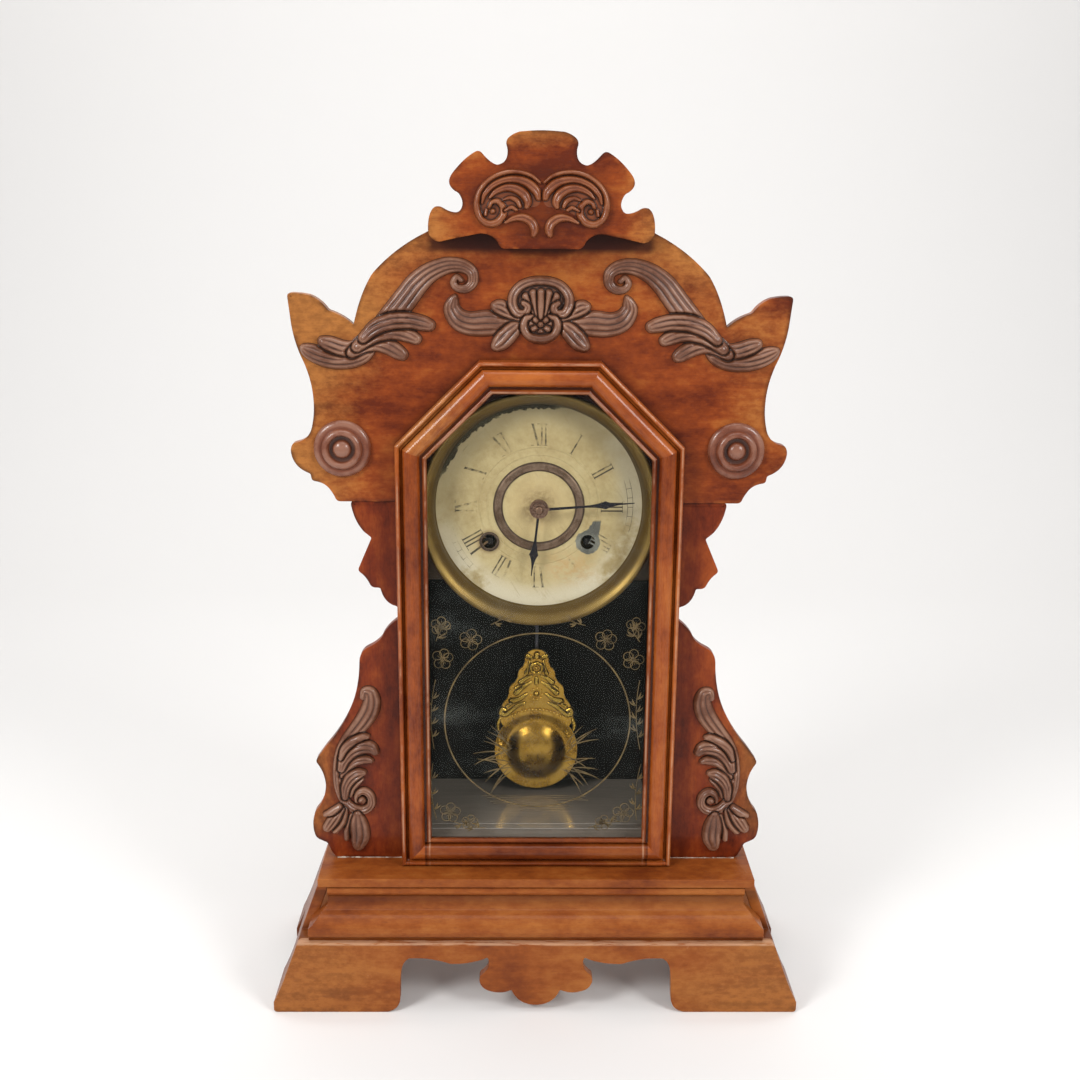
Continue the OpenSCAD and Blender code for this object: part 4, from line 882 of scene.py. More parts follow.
def build_finishes():
    """All the materials, by name."""
    orange = ((0.105, 0.015, 0.003), (0.240, 0.045, 0.007), (0.375, 0.105, 0.018), (0.41, 0.160, 0.038))
    red = ((0.062, 0.008, 0.003), (0.165, 0.024, 0.005), (0.275, 0.054, 0.009), (0.32, 0.105, 0.023))
    base = ((0.140, 0.028, 0.006), (0.255, 0.064, 0.011), (0.360, 0.116, 0.024), (0.37, 0.130, 0.029))
    # The door's fourth tone is the painted sheen on its left sloping rail
    door = ((0.135, 0.023, 0.005), (0.280, 0.060, 0.010), (0.400, 0.108, 0.019), (0.46, 0.19, 0.05))
    raw = ((0.25, 0.15, 0.08), (0.42, 0.28, 0.16), (0.55, 0.40, 0.25), (0.30, 0.085, 0.022))
    brown = ((0.060, 0.019, 0.008), (0.145, 0.052, 0.025), (0.225, 0.092, 0.048))
    rosette = ((0.075, 0.018, 0.008), (0.165, 0.045, 0.020), (0.24, 0.078, 0.036))
    crest_brown = ((0.075, 0.014, 0.004), (0.180, 0.042, 0.009), (0.28, 0.078, 0.018))
    stained = ((0.10, 0.035, 0.015), (0.17, 0.07, 0.03), (0.24, 0.11, 0.05))
    # Near-black tones for the inside of the case
    near_black = ((0.004, 0.0035, 0.003), (0.007, 0.006, 0.005), (0.010, 0.009, 0.007))
    gloss = sizes().varnish
    upright, sloping = (0, QUARTER, 0), (0, -math.atan(SLOPE), 0)

    def door_and_crest_shade(finish):
        """Painted shade along the door, the crest's painted shadow on the head board, and painted shade on
        the part that the door covers.
        """
        gap = past_door(finish)
        x, y, z = finish.parts()
        # Painted shadow of the crest: dark just below it, fainter further down
        crest = (z.smooth(486, 491) * abs(x).smooth(70, 64) * 0.8
                 + z.smooth(462, 486) * abs(x).smooth(80, 40) * 0.2)
        # Painted shade: nearly black where the door covers the board
        behind = gap.smooth(-14, -19) * 0.94
        # Painted shade along the door's edge, strongest close to it
        painted_shade = (gap.smooth(4, -2) * 0.5 + gap.smooth(22, 0) * 0.16).most(crest.clamped()).most(behind)
        return painted_shade * y.smooth(-20.3, -21.3)

    def head_fade(finish):
        """Bleached stain far from the door, less on the right."""
        x, _, z = finish.parts()
        far = distance(x, (z - 350) * 0.8)
        return far.smooth(70, 165) * (1 - x.smooth(60, 150) * 0.5)

    def side_fade(finish):
        """Bleached stain at the outer edges."""
        x, _, z = finish.parts()
        return abs(x).smooth(112, 150) * z.smooth(90, 120)

    def crest_fade(finish):
        """Bleached stain at the sides and the top."""
        x, _, z = finish.parts()
        return (abs(x).smooth(30, 75) + z.smooth(532, 560)).clamped() * 0.9

    def crest_grime_and_shade(finish):
        """Grime and painted shade round the crest's carving."""
        x, _, z = finish.parts()
        return distance(x, (z - 517) * 1.9).smooth(52, 30) * 0.38

    def moulding_shade(finish):
        """Shade in the moulding's cove, under its bead and at its foot."""
        z = finish.parts()[2]
        cove = z.smooth(66, 76) * z.smooth(79.5, 78)
        return cove * 0.45 + z.smooth(83, 84.2) * z.smooth(85, 84.5) * 0.4 + z.smooth(58, 50) * 0.45

    def bob_forms(finish):
        """The dome's and the flange's slopes, deeper than the thin pressing shows by itself."""
        x, _, z = finish.parts()
        radius = distance(x, z - float(BOB_Z)) * (1 / BOB_RADIUS)
        dome = (1 - (radius * radius) * 2.0).most(0.0)
        return (dome, 2.4), (radius.smooth(0.72, 1.02), 2.4)

    def groove_shade_and_dirt(finish):
        """Painted shade and dirt in the door moulding's grooves, and darker over its inner bead."""
        depth = past_door(finish) * -1
        lines = [band(depth, a, b, 0.35) for a, b in ((2.7, 3.0), (4.3, 4.7), (15.1, 16.5))]
        return (lines[0] + lines[1] + lines[2] * 0.8 + depth.smooth(16.4, 16.8) * 0.45).clamped() * 0.85

    def worn_and_highlit(finish):
        """Painted highlight and bare wood on the door moulding's two beads."""
        depth = past_door(finish) * -1
        patch = finish.noise(0.05, 4, 0.6).smooth(0.38, 0.6)
        outer = depth.smooth(0.5, 1.1) * depth.smooth(2.1, 1.5)
        inner = depth.smooth(17.6, 18.1) * depth.smooth(19.2, 18.7)
        return (outer + inner) * patch * 0.4

    def ledge_highlight_and_chips(finish):
        """Painted highlight along the apron's upper edge, and chips of bare wood."""
        z = finish.parts()[2]
        line = z.smooth(48.6, 49.8) * finish.noise((0.05, 0.4, 0.4), 4, 0.7).smooth(0.36, 0.52)
        chips = finish.noise((0.12, 0.2, 0.14), 4, 0.75).smooth(0.71, 0.74)
        return (line * 0.55 + chips * 0.3).clamped()

    def feet(finish):
        """Bleached stain at the apron's feet."""
        x, _, z = finish.parts()
        return abs(x).smooth(60, 165) * 0.8 + z.smooth(40, 10) * 0.3

    def bezel_edges(finish):
        """Tarnish on the bezel's rims, and shade on its upper and lowest parts."""
        _, dz, radius = from_centre(finish)
        return (radius.smooth(74.2, 75) + radius.smooth(68.2, 67.4) * dz.smooth(-20, 30) * 0.8
                + dz.smooth(-10, 60) * 0.3 + dz.smooth(-45, -64) * 0.35).clamped()

    def ring_rim_shade(finish):
        """Painted shade on both rims of the centre ring."""
        radius = from_centre(finish)[2]
        return (radius.smooth(24.4, 23.6) + radius.smooth(27.6, 28.4)).clamped() * 0.9

    def box_shade(finish):
        """Painted shade on the blocks that hold the movement, within the case."""
        z = finish.parts()[2]
        return z.smooth(100, 110) * z.smooth(430, 426) * 0.96

    def front_of_block(finish):
        """Red stain on the crest's cleat, which stands on the head board's front."""
        return finish.parts()[1].smooth(-30, -36) * 3

    def left_sheen(finish):
        """Painted sheen: a paler left side of the door's sloping rails."""
        return finish.parts()[0].smooth(-30, -60) * 0.6

    moulded = {"gloss": 0.2, "lacquer": 0.25, "dark": groove_shade_and_dirt, "worn": worn_and_highlit}
    made = {
        "head": wood("HeadWood", orange, gloss, edge=True, dark=door_and_crest_shade, fade_and_sheen=head_fade),
        "crest": wood("CrestWood", orange, gloss, edge=True, dark=crest_grime_and_shade, fade_and_sheen=crest_fade, seed=0.35),
        "side": wood("SideWood", red, gloss, upright, edge=True, dark=door_and_crest_shade, fade_and_sheen=side_fade),
        "base": wood("BaseWood", base, gloss + 0.03, worn=ledge_highlight_and_chips, fade_and_sheen=feet),
        "base_edge": wood("BaseTopWood", base, gloss, dark=moulding_shade, seed=0.6),
        "rail": wood("DoorRailWood", door, **moulded),
        "stile": wood("DoorStileWood", door, grain=upright, seed=0.2, **moulded),
        "diagonal": wood("DoorDiagonalWood", door, grain=sloping, mirrored=True, fade_and_sheen=left_sheen, **moulded),
        "raw": wood("PlainPine", raw, 0.6, upright, lacquer=0.0),
        "blocks": wood("BlockPine", raw, 0.5, lacquer=0.0, dark=box_shade, fade_and_sheen=front_of_block),
        # Each carved finish's last tone is its painted highlight and wear on the ridges
        "carved": carved("CarvedWood", brown, 0.4, (0.38, 0.22, 0.145)),
        "rosette": carved("RosetteWood", rosette, 0.28, (0.36, 0.20, 0.14)),
        "crest_carved": carved("CrestCarvedWood", crest_brown, 0.34, (0.34, 0.145, 0.07)),
        "box_side": box_wood("BoxSideWood", near_black, stained, 0, 78, 82, upright),
        "box_back": box_wood("BackBoardWood", near_black, raw, 1, 57.5, 59, upright),
        "box_top": box_wood("BoxTopWood", near_black, stained, 2, 425, 429, (0, 0, 0)),
        "brass": metal("MovementBrass", ((0.32, 0.20, 0.065), (0.48, 0.32, 0.11)), 0.28),
        # Painted shade: the front plate's brass kept dark, as in the shade behind the dial
        "plate": metal("PlateBrass", ((0.05, 0.032, 0.012), (0.09, 0.06, 0.02)), 0.4),
        "bezel": metal("BezelBrass", ((0.155, 0.100, 0.030), (0.19, 0.125, 0.036)), 0.28, 1.4,
                       marks=bezel_edges),
        "bob": metal("BobBrass", ((0.27, 0.145, 0.020), (0.40, 0.24, 0.042)), 0.17, 2.0,
                     (0.10, 0.048, 0.010), forms=bob_forms),
        "ornament": metal("OrnamentBrass", ((0.21, 0.125, 0.018), (0.38, 0.25, 0.045)), 0.14, 2.0,
                          (0.045, 0.022, 0.005), hollow=True),
        "ring": metal("RingBrass", ((0.105, 0.065, 0.040), (0.21, 0.145, 0.10)), 0.3, 2.0, marks=ring_rim_shade),
        "hub": metal("HubBronze", ((0.12, 0.07, 0.045), (0.24, 0.15, 0.10)), 0.34, 3.0),
        "steel": metal("DrawnSteel", ((0.22, 0.22, 0.23), (0.38, 0.38, 0.39)), 0.3),
        "rod": metal("RodSteel", ((0.05, 0.05, 0.055), (0.10, 0.10, 0.11)), 0.45),
        # Old steel, darkened further as painted shade for the arbors seen in the winding holes
        "dark_steel": metal("OldSteelInShade", ((0.014, 0.013, 0.012), (0.035, 0.032, 0.030)), 0.45),
        "blued": metal("BluedSteel", ((0.014, 0.015, 0.020), (0.035, 0.035, 0.040)), 0.36),
        "iron": metal("JapannedIron", ((0.012, 0.012, 0.013), (0.03, 0.03, 0.03)), 0.4, metallic=0.2),
        "gilt": metal("GiltLine", ((0.080, 0.050, 0.014), (0.165, 0.108, 0.034)), 0.55, 3.0, metallic=0.2),
        "paper": paper("DialPaper"),
        "ink": paper("DialInk", (0.025, 0.022, 0.020), 0.49),
        "track": paper("TrackInk", (0.05, 0.04, 0.03), 0.62),
    }
    floor = Finish("BoxFloorWood", Coat_Weight=1.0, Coat_Roughness=0.06, Coat_IOR=1.8)
    fibre = floor.noise((0.03, 0.5, 0.5), 5, 0.65)
    greyed = floor.mix(fibre.smooth(0.4, 0.6), (0.185, 0.158, 0.126), (0.225, 0.192, 0.154))
    floor.set(Base_Color=greyed, Roughness=0.3 + fibre * 0.2)
    glass = Finish("WindowGlass", Base_Color=(0.60, 0.66, 0.60), IOR=1.45, Specular_IOR_Level=0.35)
    smear = glass.noise((0.012, 0.012, 0.03), 5, 0.7).smooth(0.5, 0.8)
    glass.set(Alpha=0.006 + smear * 0.03, Roughness=0.04 + smear * 0.15)
    glass.material.surface_render_method = "BLENDED"
    hand = Finish("HandSteel", Metallic=0.9)
    radius = from_centre(hand)[2]
    rust = hand.noise(0.8, 4, 0.7)
    steel = hand.mix(rust.smooth(0.5, 0.7), (0.016, 0.016, 0.020), (0.045, 0.030, 0.024))
    bronze = hand.mix(rust.smooth(0.4, 0.6), (0.10, 0.055, 0.035), (0.22, 0.135, 0.095))
    hand.set(Base_Color=hand.mix(radius.smooth(6.8, 6.2), steel, bronze), Roughness=0.34 + rust * 0.25)
    hand.bumps((rust, 0.03))
    glue = Finish("DriedGlue", Roughness=0.5)
    lump = glue.noise(0.3, 4, 0.6)
    glue.set(Base_Color=glue.mix(lump.smooth(0.4, 0.65), (0.16, 0.08, 0.05), (0.50, 0.43, 0.36)))
    glue.bumps((lump, 0.3))
    made.update(box_floor=floor.material, glass=glass.material, hand=hand.material, glue=glue.material)
    return made


# The materials that the first operator makes, by name
FINISH = {}


# Settings

def number(name, about, usual, low, high):
    """A setting with a usual value and its limits."""
    return bpy.props.FloatProperty(name=name, description=about, default=usual, min=low, max=high)


class CLOCK_Sizes(bpy.types.PropertyGroup):
    """Sizes and tones that a user would change."""
    varnish: number("Varnish roughness", "Roughness of the varnished wood", 0.33, 0.05, 0.9)
    rounding: number("Edge rounding", "Wear on the edges of the boards, in mm", 0.7, 0.2, 1.5)
    carving_height: number("Carving height", "Relief of the carvings, in mm", 4.6, 2.0, 5.0)
    gilt_width: number("Gilt line", "Width of the gilt lines on the glass, in mm", 0.75, 0.3, 2.0)
    ticks: bpy.props.IntProperty(name="Minute marks", description="Marks of the dial's minute track",
                                 default=60, min=12, max=120)
    floor_tone: bpy.props.FloatVectorProperty(name="Floor tone", description="Colour of the backdrop",
                                              subtype="COLOR", default=(0.80, 0.785, 0.77))


def sizes():
    """The settings of the open scene."""
    return bpy.context.scene.clock_sizes


class Step:
    """What the operators share: each one builds its own part of the clock."""
    bl_options = {"REGISTER"}

    def execute(self, context):
        self.build()
        return {"FINISHED"}


# Case

def fretted(node, name, finish, slot, holes=0):
    """A sawn board rebuilt from its front outline and its holes."""
    low, high = corners(node)
    loops = [refined(p) for p in outlines(node, low[1])[:1 + holes]]
    dress(board(name, loops, low[1], high[1]), FINISH[finish], "case", slot, node)


class CLOCK_OT_finishes(Step, bpy.types.Operator):
    """Make the materials"""
    bl_idname = "clock.finishes"
    bl_label = "Finishes"

    def build(self):
        FINISH.update(build_finishes())


class CLOCK_OT_base(Step, bpy.types.Operator):
    """Build the moulded and footed base"""
    bl_idname = "clock.base"
    bl_label = "Base"

    def build(self):
        fretted("base_front", "Apron", "base", "case_wood")
        refinished("base_top_board", "base_edge", "case", "case_wood", 0.6, name="BaseTop")
        refinished("base_sides", "base_edge", "case", "case_wood", 0.6)
        refinished("base_moulding", "base_edge", "case", "case_wood", 0.25)


class CLOCK_OT_case(Step, bpy.types.Operator):
    """Finish the box behind the front boards"""
    bl_idname = "clock.case"
    bl_label = "Case box"

    def build(self):
        for node, finish, slot in (
                ("case_sides", "box_side", "box_wood"), ("back_board", "box_back", "raw_wood"),
                ("case_top", "box_top", "box_wood"), ("case_floor", "box_floor", "box_wood"),
                ("front_rail", "box_floor", "box_wood")):
            refinished(node, finish, "case", slot)
        refinished("wood_blocks", "blocks", "case", "raw_wood", 0.5)


class CLOCK_OT_boards(Step, bpy.types.Operator):
    """Build the fretted head, side and crest boards"""
    bl_idname = "clock.boards"
    bl_label = "Fretted boards"

    def build(self):
        fretted("head_board", "HeadBoard", "head", "case_wood", holes=1)
        fretted("crest_board", "CrestBoard", "crest", "case_wood")
        low, high = corners("side_boards")
        sides = [board("Side", [refined(p)], low[1], high[1]) for p in outlines("side_boards", high[1])[:2]]
        dress(together("SideBoards", sides), FINISH["side"], "case", "red_wood", "side_boards")
        self.glue(low[1], low[2])

    def glue(self, y, z):
        """Crumbs of dried glue along the feet of the side boards."""
        chance = np.random.default_rng(5)
        verts, faces = [], []
        xs = np.linspace(90, 133, 60)
        for side in (-1, 1):
            lumps = blurred(chance.uniform(0, 1, (1, len(xs))), 3)[0] ** 2
            size = np.clip(0.25 + 0.9 * lumps * (0.5 + 0.9 * (xs > 118)), 0.2, 1.3)
            for i, (x, r) in enumerate(zip(xs, size)):
                if i:
                    n = len(verts)
                    faces += [(n - 4 + k, n - 3 + k, n + 1 + k, n + k) for k in range(3)]
                verts += [(side * x, y + 0.3, z + r), (side * x, y - 0.6 * r, z + 0.7 * r),
                          (side * x, y - 0.9 * r, z + 0.3 * r), (side * x, y - 1.1 * r, z - 0.2)]
        dress(merged(new_object("GlueLine", verts, faces)), FINISH["glue"], "case", "raw_wood")


SPRAY = [
    ([(47.6, 471.6, 1.6), (50.4, 473.6, 1.8), (52.4, 470.2, 2.2), (49.8, 466.9, 2.4), (44.6, 466.9, 2.8),
      (40.9, 470.6, 3.2), (41.5, 476.4, 3.6), (47, 480, 4.2), (56, 480.2, 5), (66, 476.2, 6),
      (74, 469.6, 7), (80.5, 461.4, 7.4), (86.5, 454, 7.4), (93.5, 446.6, 6.6), (101, 440, 5.4),
      (108, 435.6, 4), (113, 433, 2.6)], 1.0, 4),
    ([(102, 431, 3), (107.5, 426.6, 5), (115.5, 424.4, 6.2), (125.5, 424.2, 6.3), (134, 426.2, 6),
      (140, 428.8, 4.8), (143.2, 430.6, 2.6)], 0.98, 4),
    ([(104, 436, 4), (112.5, 430.8, 4.6), (120, 430.8, 5), (127, 433.2, 4.8), (131.4, 434.6, 3.6)], 1.0, 3),
    ([(114, 428, 3.6), (107, 432.6, 4.8), (99, 433.8, 5.2), (92, 431.8, 5.2), (86.6, 428.8, 4.8),
      (83.8, 427, 3.8)], 0.88, 3),
    ([(111, 431.6, 3.6), (103, 437.6, 5), (94, 440.8, 5.4), (86, 440.6, 5.2), (79, 438.4, 4.6),
      (75.2, 436.6, 3.6)], 0.96, 3),
    ([(107, 437, 3.4), (99.6, 443.4, 4.8), (90, 447, 5.4), (80, 447.6, 5.2), (71.4, 446, 4.8),
      (67, 444.8, 3.8)], 1.06, 3),
]
PALMETTE_SIDE = [
    ([(13, 448, 3.6), (22, 446.3, 6.4), (32, 446.3, 8), (42, 445.9, 7.4), (49.4, 448.5, 6.6),
      (53.4, 454.2, 5.2), (52.8, 459, 3.4), (51.6, 462, 1.6)], 0.9, 4),
    ([(12.6, 446.4, 3.4), (18.2, 441, 5.6), (23, 436, 5.8), (26.4, 432.8, 3.8)], 0.92, 3),
    ([(12.6, 450.4, 2.8), (18.6, 453, 4.2), (24, 455.8, 4.8), (27, 456.4, 3.4)], 0.98, 3),
]
PALMETTE_MIDDLE = [
    ([(0, 455.5, 13), (0, 459.5, 14)], 0.42, 1),
    ([(0, 445.2, 9.5), (0, 445.6, 9.5)], 0.5, 1),
    *both([([(-2.6, 449.6, 1.2), (-6.2, 457, 2), (-9, 462.4, 2.5)], 0.72, 1),
           ([(-1.4, 449.6, 1.3), (-3.2, 458, 2.1), (-4.6, 464.4, 2.5)], 0.78, 1)]),
    ([(0, 449.6, 1.4), (0, 457, 2.1), (0, 465, 2.4)], 0.84, 1),
    ([(-10.4, 458.4, 1.7), (-8, 456.2, 2.2), (-9.6, 452.6, 2.5), (-14.2, 452.8, 2.8), (-17, 457.6, 3),
      (-16.4, 463.4, 3), (-12.2, 468.6, 2.9), (-6.2, 471.2, 2.8), (0, 471.8, 2.8), (6.2, 471.2, 2.8),
      (12.2, 468.6, 2.9), (16.4, 463.4, 3), (17, 457.6, 3), (14.2, 452.8, 2.8), (9.6, 452.6, 2.5),
      (8, 456.2, 2.2), (10.4, 458.4, 1.7)], 1.0, 2),
    ([(-5.4, 450.4, 1.4), (-9.2, 449, 2), (-10.2, 444, 2.4), (-7, 438.8, 2.7), (0, 436.8, 2.9),
      (7, 438.8, 2.7), (10.2, 444, 2.4), (9.2, 449, 2), (5.4, 450.4, 1.4)], 0.98, 1),
    *both([([(-1.6, 444.8, 1.2), (-4.4, 443, 1.8)], 0.86, 1),
           ([(-1.4, 446.8, 1.2), (-3.4, 448.6, 1.6)], 0.86, 1)]),
    ([(0, 445.6, 1.7), (0, 445.8, 1.7)], 1.0, 1),
]
ACANTHUS = [
    ([(113.2, 205.4, 2.2), (112, 209.4, 2.8), (108.4, 208.6, 4.2), (107.4, 203, 5.8), (109, 196, 6.4),
      (113, 189, 6.1), (118.4, 182, 5.3), (123.8, 175, 4.7), (127.8, 168, 4.1), (130.3, 160, 3.6),
      (131.3, 150, 3.2), (130.4, 141, 3.2), (127.2, 132.8, 3.4), (121.4, 127, 3.5), (114.8, 125.6, 3.4),
      (109.8, 129.4, 3.2), (109.8, 135.8, 3), (114, 139.4, 2.8), (118.4, 137.2, 2.4), (118.8, 132.6, 2)],
     1.0, 3),
    ([(127.6, 150, 2), (124.6, 156, 3.2), (119, 160.4, 3.5), (112.6, 161.8, 3.2), (108.8, 161, 2)], 0.82, 2),
    ([(128.6, 155, 2.6), (126.2, 162, 4), (121, 168, 5), (114.6, 170.6, 5.3), (109, 170.2, 4.6),
      (106, 167.4, 3)], 0.9, 3),
    ([(128.8, 163, 1.8), (125.8, 170, 2.8), (120.2, 175.4, 3), (114, 178.2, 2.7), (110.6, 178.2, 1.8)],
     1.0, 1),
    ([(123.6, 136, 2), (122.2, 141.6, 3), (119, 145.8, 3.2), (115.8, 147.8, 2)], 0.75, 1),
    ([(126.6, 135, 2.2), (126, 142, 3.4), (122.8, 148.2, 4.2), (118, 151.8, 4), (114.2, 152.6, 2.4)], 0.9, 3),
    ([(115.2, 132.8, 2.6), (115.4, 133, 2.6)], 0.85, 1),
    ([(122.6, 121.4, 1.8), (125.2, 112.6, 2.8), (126.4, 105.2, 2)], 0.85, 1),
    ([(127.2, 125, 2.6), (130, 117.4, 4), (133.8, 111.6, 3.2)], 0.86, 2),
    ([(129.6, 126.6, 2.6), (134.4, 119.6, 4.2), (138.8, 113.2, 3.6)], 0.92, 3),
    ([(130.4, 128.6, 2.2), (135.2, 125, 2.7), (140, 122.8, 1.8)], 1.0, 1),
    ([(118.6, 122.6, 3), (117.8, 114.6, 6.2), (117.4, 106.6, 6.6), (118.6, 100.4, 4.4)], 0.95, 3),
]
CREST = [
    ([(-30, 513, 8), (-22, 518.5, 9), (-12, 521, 7.5), (-5, 519, 4.5)], 0.1, 1),
    ([(-1.4, 528.4, 0.9), (-6, 531.8, 1.3), (-12.4, 533.8, 1.4), (-19.4, 534, 1.5), (-26.6, 531.8, 1.6),
      (-32.8, 527.4, 1.8), (-36.8, 521.4, 1.9), (-38, 514.6, 2), (-36.2, 508.6, 2), (-31.6, 504.9, 2.1),
      (-26.4, 505.6, 2.2), (-22.8, 509.4, 2.2), (-22.6, 514.2, 2), (-25.6, 517.4, 1.7), (-29.2, 517, 1.3),
      (-30.8, 514, 1.1)], 0.95, 1),
    ([(-35, 516.6, 0.8), (-33.4, 521.6, 1.5), (-28.4, 526.6, 2), (-21.4, 529.4, 2.3), (-14, 529.6, 2.7),
      (-7.6, 527.4, 3), (-3.2, 523.4, 2.7), (-1.9, 519.8, 1.9)], 0.8, 2),
    ([(-30.4, 519.6, 0.8), (-26.8, 523, 1.6), (-21, 525.2, 2.2), (-15, 524.6, 2.7), (-10.4, 521.8, 2.9),
      (-8.2, 517.6, 2.4), (-8.8, 514.6, 1.5)], 0.82, 2),
    ([(-22.4, 518.4, 0.7), (-18.6, 519.6, 1.2), (-14.6, 518, 1.5), (-12.8, 514.8, 1.2)], 0.6, 1),
    ([(-21.6, 512.4, 0.8), (-17.8, 514.2, 1.2), (-15, 512.8, 1.1)], 0.6, 1),
    ([(-21.4, 505.6, 0.9), (-16.2, 508, 1.8), (-10.8, 508.4, 2.6), (-6.2, 506, 2.9), (-4.2, 502, 2.7),
      (-4.8, 498.8, 1.8)], 0.85, 2),
    ([(-32.4, 512.6, 1), (-33, 509.8, 1)], 0.5, 1),
    ([(-28.8, 511.8, 1.5), (-28.6, 512, 1.5)], 0.7, 1),
]
ORNAMENT_SIDE = [
    ([(2.6, 212.4, 1.2), (6, 213.6, 2), (6.2, 213.8, 2)], 1.4, 1),
    ([(4.6, 210.4, 0.9), (5.4, 205.6, 1.2), (6.8, 201.6, 1.7), (7, 201.4, 1.7)], 1.3, 1),
    ([(3.4, 199.4, 1.1), (7.8, 197.2, 1.6), (10.4, 194.8, 2.2), (10.6, 194.6, 2.2)], 1.5, 1),
    ([(3.6, 195, 1), (8.6, 191.6, 1.6), (11.8, 188.6, 1.8), (13.6, 187, 2.2), (13.8, 186.8, 2.2)], 1.5, 1),
    ([(6.8, 186.2, 1.2), (11.4, 182.4, 1.9), (16.4, 180.8, 2.5), (16.6, 180.7, 2.5)], 1.6, 1),
    ([(8.6, 179.4, 1.2), (13.4, 177, 1.7), (17.6, 173.6, 1.9), (21.4, 170.6, 2), (24.6, 171.6, 2),
      (24.2, 174.6, 1.8), (21.8, 174.4, 1.5)], 1.5, 1),
    ([(18, 178.4, 1.1), (20.6, 176.8, 1.2)], 1.0, 1),
    ([(12.4, 191.8, 1), (14.6, 190.2, 1)], 1.0, 1),
    ([(25.6, 167.2, 1.2), (26.8, 163.2, 1.4), (26.4, 159.4, 1)], 0.9, 1),
]
ORNAMENT_MIDDLE = [
    ([(0, 213.6, 2.2), (0, 215.2, 2.1)], 1.7, 1),
    ([(0, 209, 1.4), (3.4, 206.8, 1.4), (3.2, 203, 1.4), (0, 201.2, 1.4), (-3.2, 203, 1.4),
      (-3.4, 206.8, 1.4), (0, 209, 1.4)], 1.5, 1),
    ([(0, 204.9, 1.3), (0, 205.1, 1.3)], 1.4, 1),
    ([(0, 197.8, 1.5), (0, 194.2, 1.8)], 1.3, 1),
    ([(0, 186.2, 2.1), (0, 186.4, 2.1)], 2.0, 1),
]


def raised(strokes, height):
    """Strokes with their heights in millimetres."""
    return [(line, top * height, flutes) for line, top, flutes in strokes]


class CLOCK_OT_carvings(Step, bpy.types.Operator):
    """Carve the crest, head and side ornaments"""
    bl_idname = "clock.carvings"
    bl_label = "Carvings"

    def build(self):
        h = sizes().carving_height
        palmette = both(raised(PALMETTE_SIDE, h)) + raised(PALMETTE_MIDDLE, h)
        head = [relief("Sprays", raised(SPRAY, h), HEAD_FACE, (1, -1)),
                relief("Palmette", palmette, HEAD_FACE)]
        side = relief("SideCarvings", raised(ACANTHUS, h), SIDE_FACE, (1, -1))
        crest = relief("CrestCarving", both(raised(CREST, h * 0.85)), CREST_FACE, step=0.25)
        dress(together("HeadCarvings", head), FINISH["carved"], "case", "carved_wood", "head_carvings")
        dress(side, FINISH["carved"], "case", "carved_wood", "side_carvings")
        dress(crest, FINISH["crest_carved"], "case", "carved_wood", "crest_carving")


class CLOCK_OT_rosettes(Step, bpy.types.Operator):
    """Turn the two round rosettes"""
    bl_idname = "clock.rosettes"
    bl_label = "Rosettes"

    def build(self):
        low, high = corners("rosettes")
        radius = (high[2] - low[2]) / 2
        centre = (high[0] - radius, (low[2] + high[2]) / 2)
        t = high[1] - low[1]
        shoulder = [(radius - 3.6 + 3.6 * math.cos(a), 0.9 + 0.42 * t * math.sin(a))
                    for a in np.linspace(0, 1.45, 10)]
        ring = [(12.9, 0.52), (12.5, 0.62), (12.0, 0.80), (11.2, 0.92), (10.2, 0.97), (9.3, 0.95),
                (8.6, 0.84), (8.2, 0.6), (7.9, 0.46), (7.0, 0.42), (5.9, 0.44), (5.5, 0.56)]
        knob = [(5.3 * math.cos(a), 0.56 * t + 0.44 * t * math.sin(a)) for a in np.linspace(0.2, QUARTER, 9)]
        profile = [(0, -0.2), (radius - 0.2, -0.2), (radius - 0.1, 0.1), (radius, 0.6), *shoulder,
                   *[(r, share * t) for r, share in ring], *knob]
        # Painted shade: the hollow values darken the recess round the knob
        hollow = [0.1 if r > 13.2 else 0.06 + 2.1 * max(0.0, 0.74 - y / t) for r, y in profile]
        pieces = [lathe("Rosette", [(r, high[1] - y) for r, y in profile], (side * centre[0], centre[1]),
                        hollow=hollow) for side in (1, -1)]
        dress(together("Rosettes", pieces), FINISH["rosette"], "case", "carved_wood", "rosettes")


# Door

class CLOCK_OT_door(Step, bpy.types.Operator):
    """Finish the moulded door with its hinges"""
    bl_idname = "clock.door"
    bl_label = "Door"

    def build(self):
        for node, finish in (("door_top_rail", "rail"), ("door_bottom_rail", "rail"),
                             ("door_stiles", "stile"), ("door_diagonals", "diagonal")):
            refinished(node, finish, "door", "door_wood", 0.0, 28)
        refinished("glass_strips", "raw", "door", "raw_wood", 0.3)
        hinges = refinished("case_hinges", "brass", "case", "brass", 0.0)
        for vert in hinges.data.vertices:
            if abs(vert.co.y / MM - SIDE_FACE) < 0.01:
                vert.co.y -= LEAF_PROUD * MM
        coat(FINISH["brass"], "door_hinges")


def leaf_line(root, tip, bow):
    """Points on a line that bows to its left by a share of its length."""
    root, tip = np.array(root, float), np.array(tip, float)
    across = np.array([-(tip - root)[1], (tip - root)[0]])
    return np.array([root + (tip - root) * t + across * bow * 4 * t * (1 - t) for t in np.linspace(0, 1, 12)])


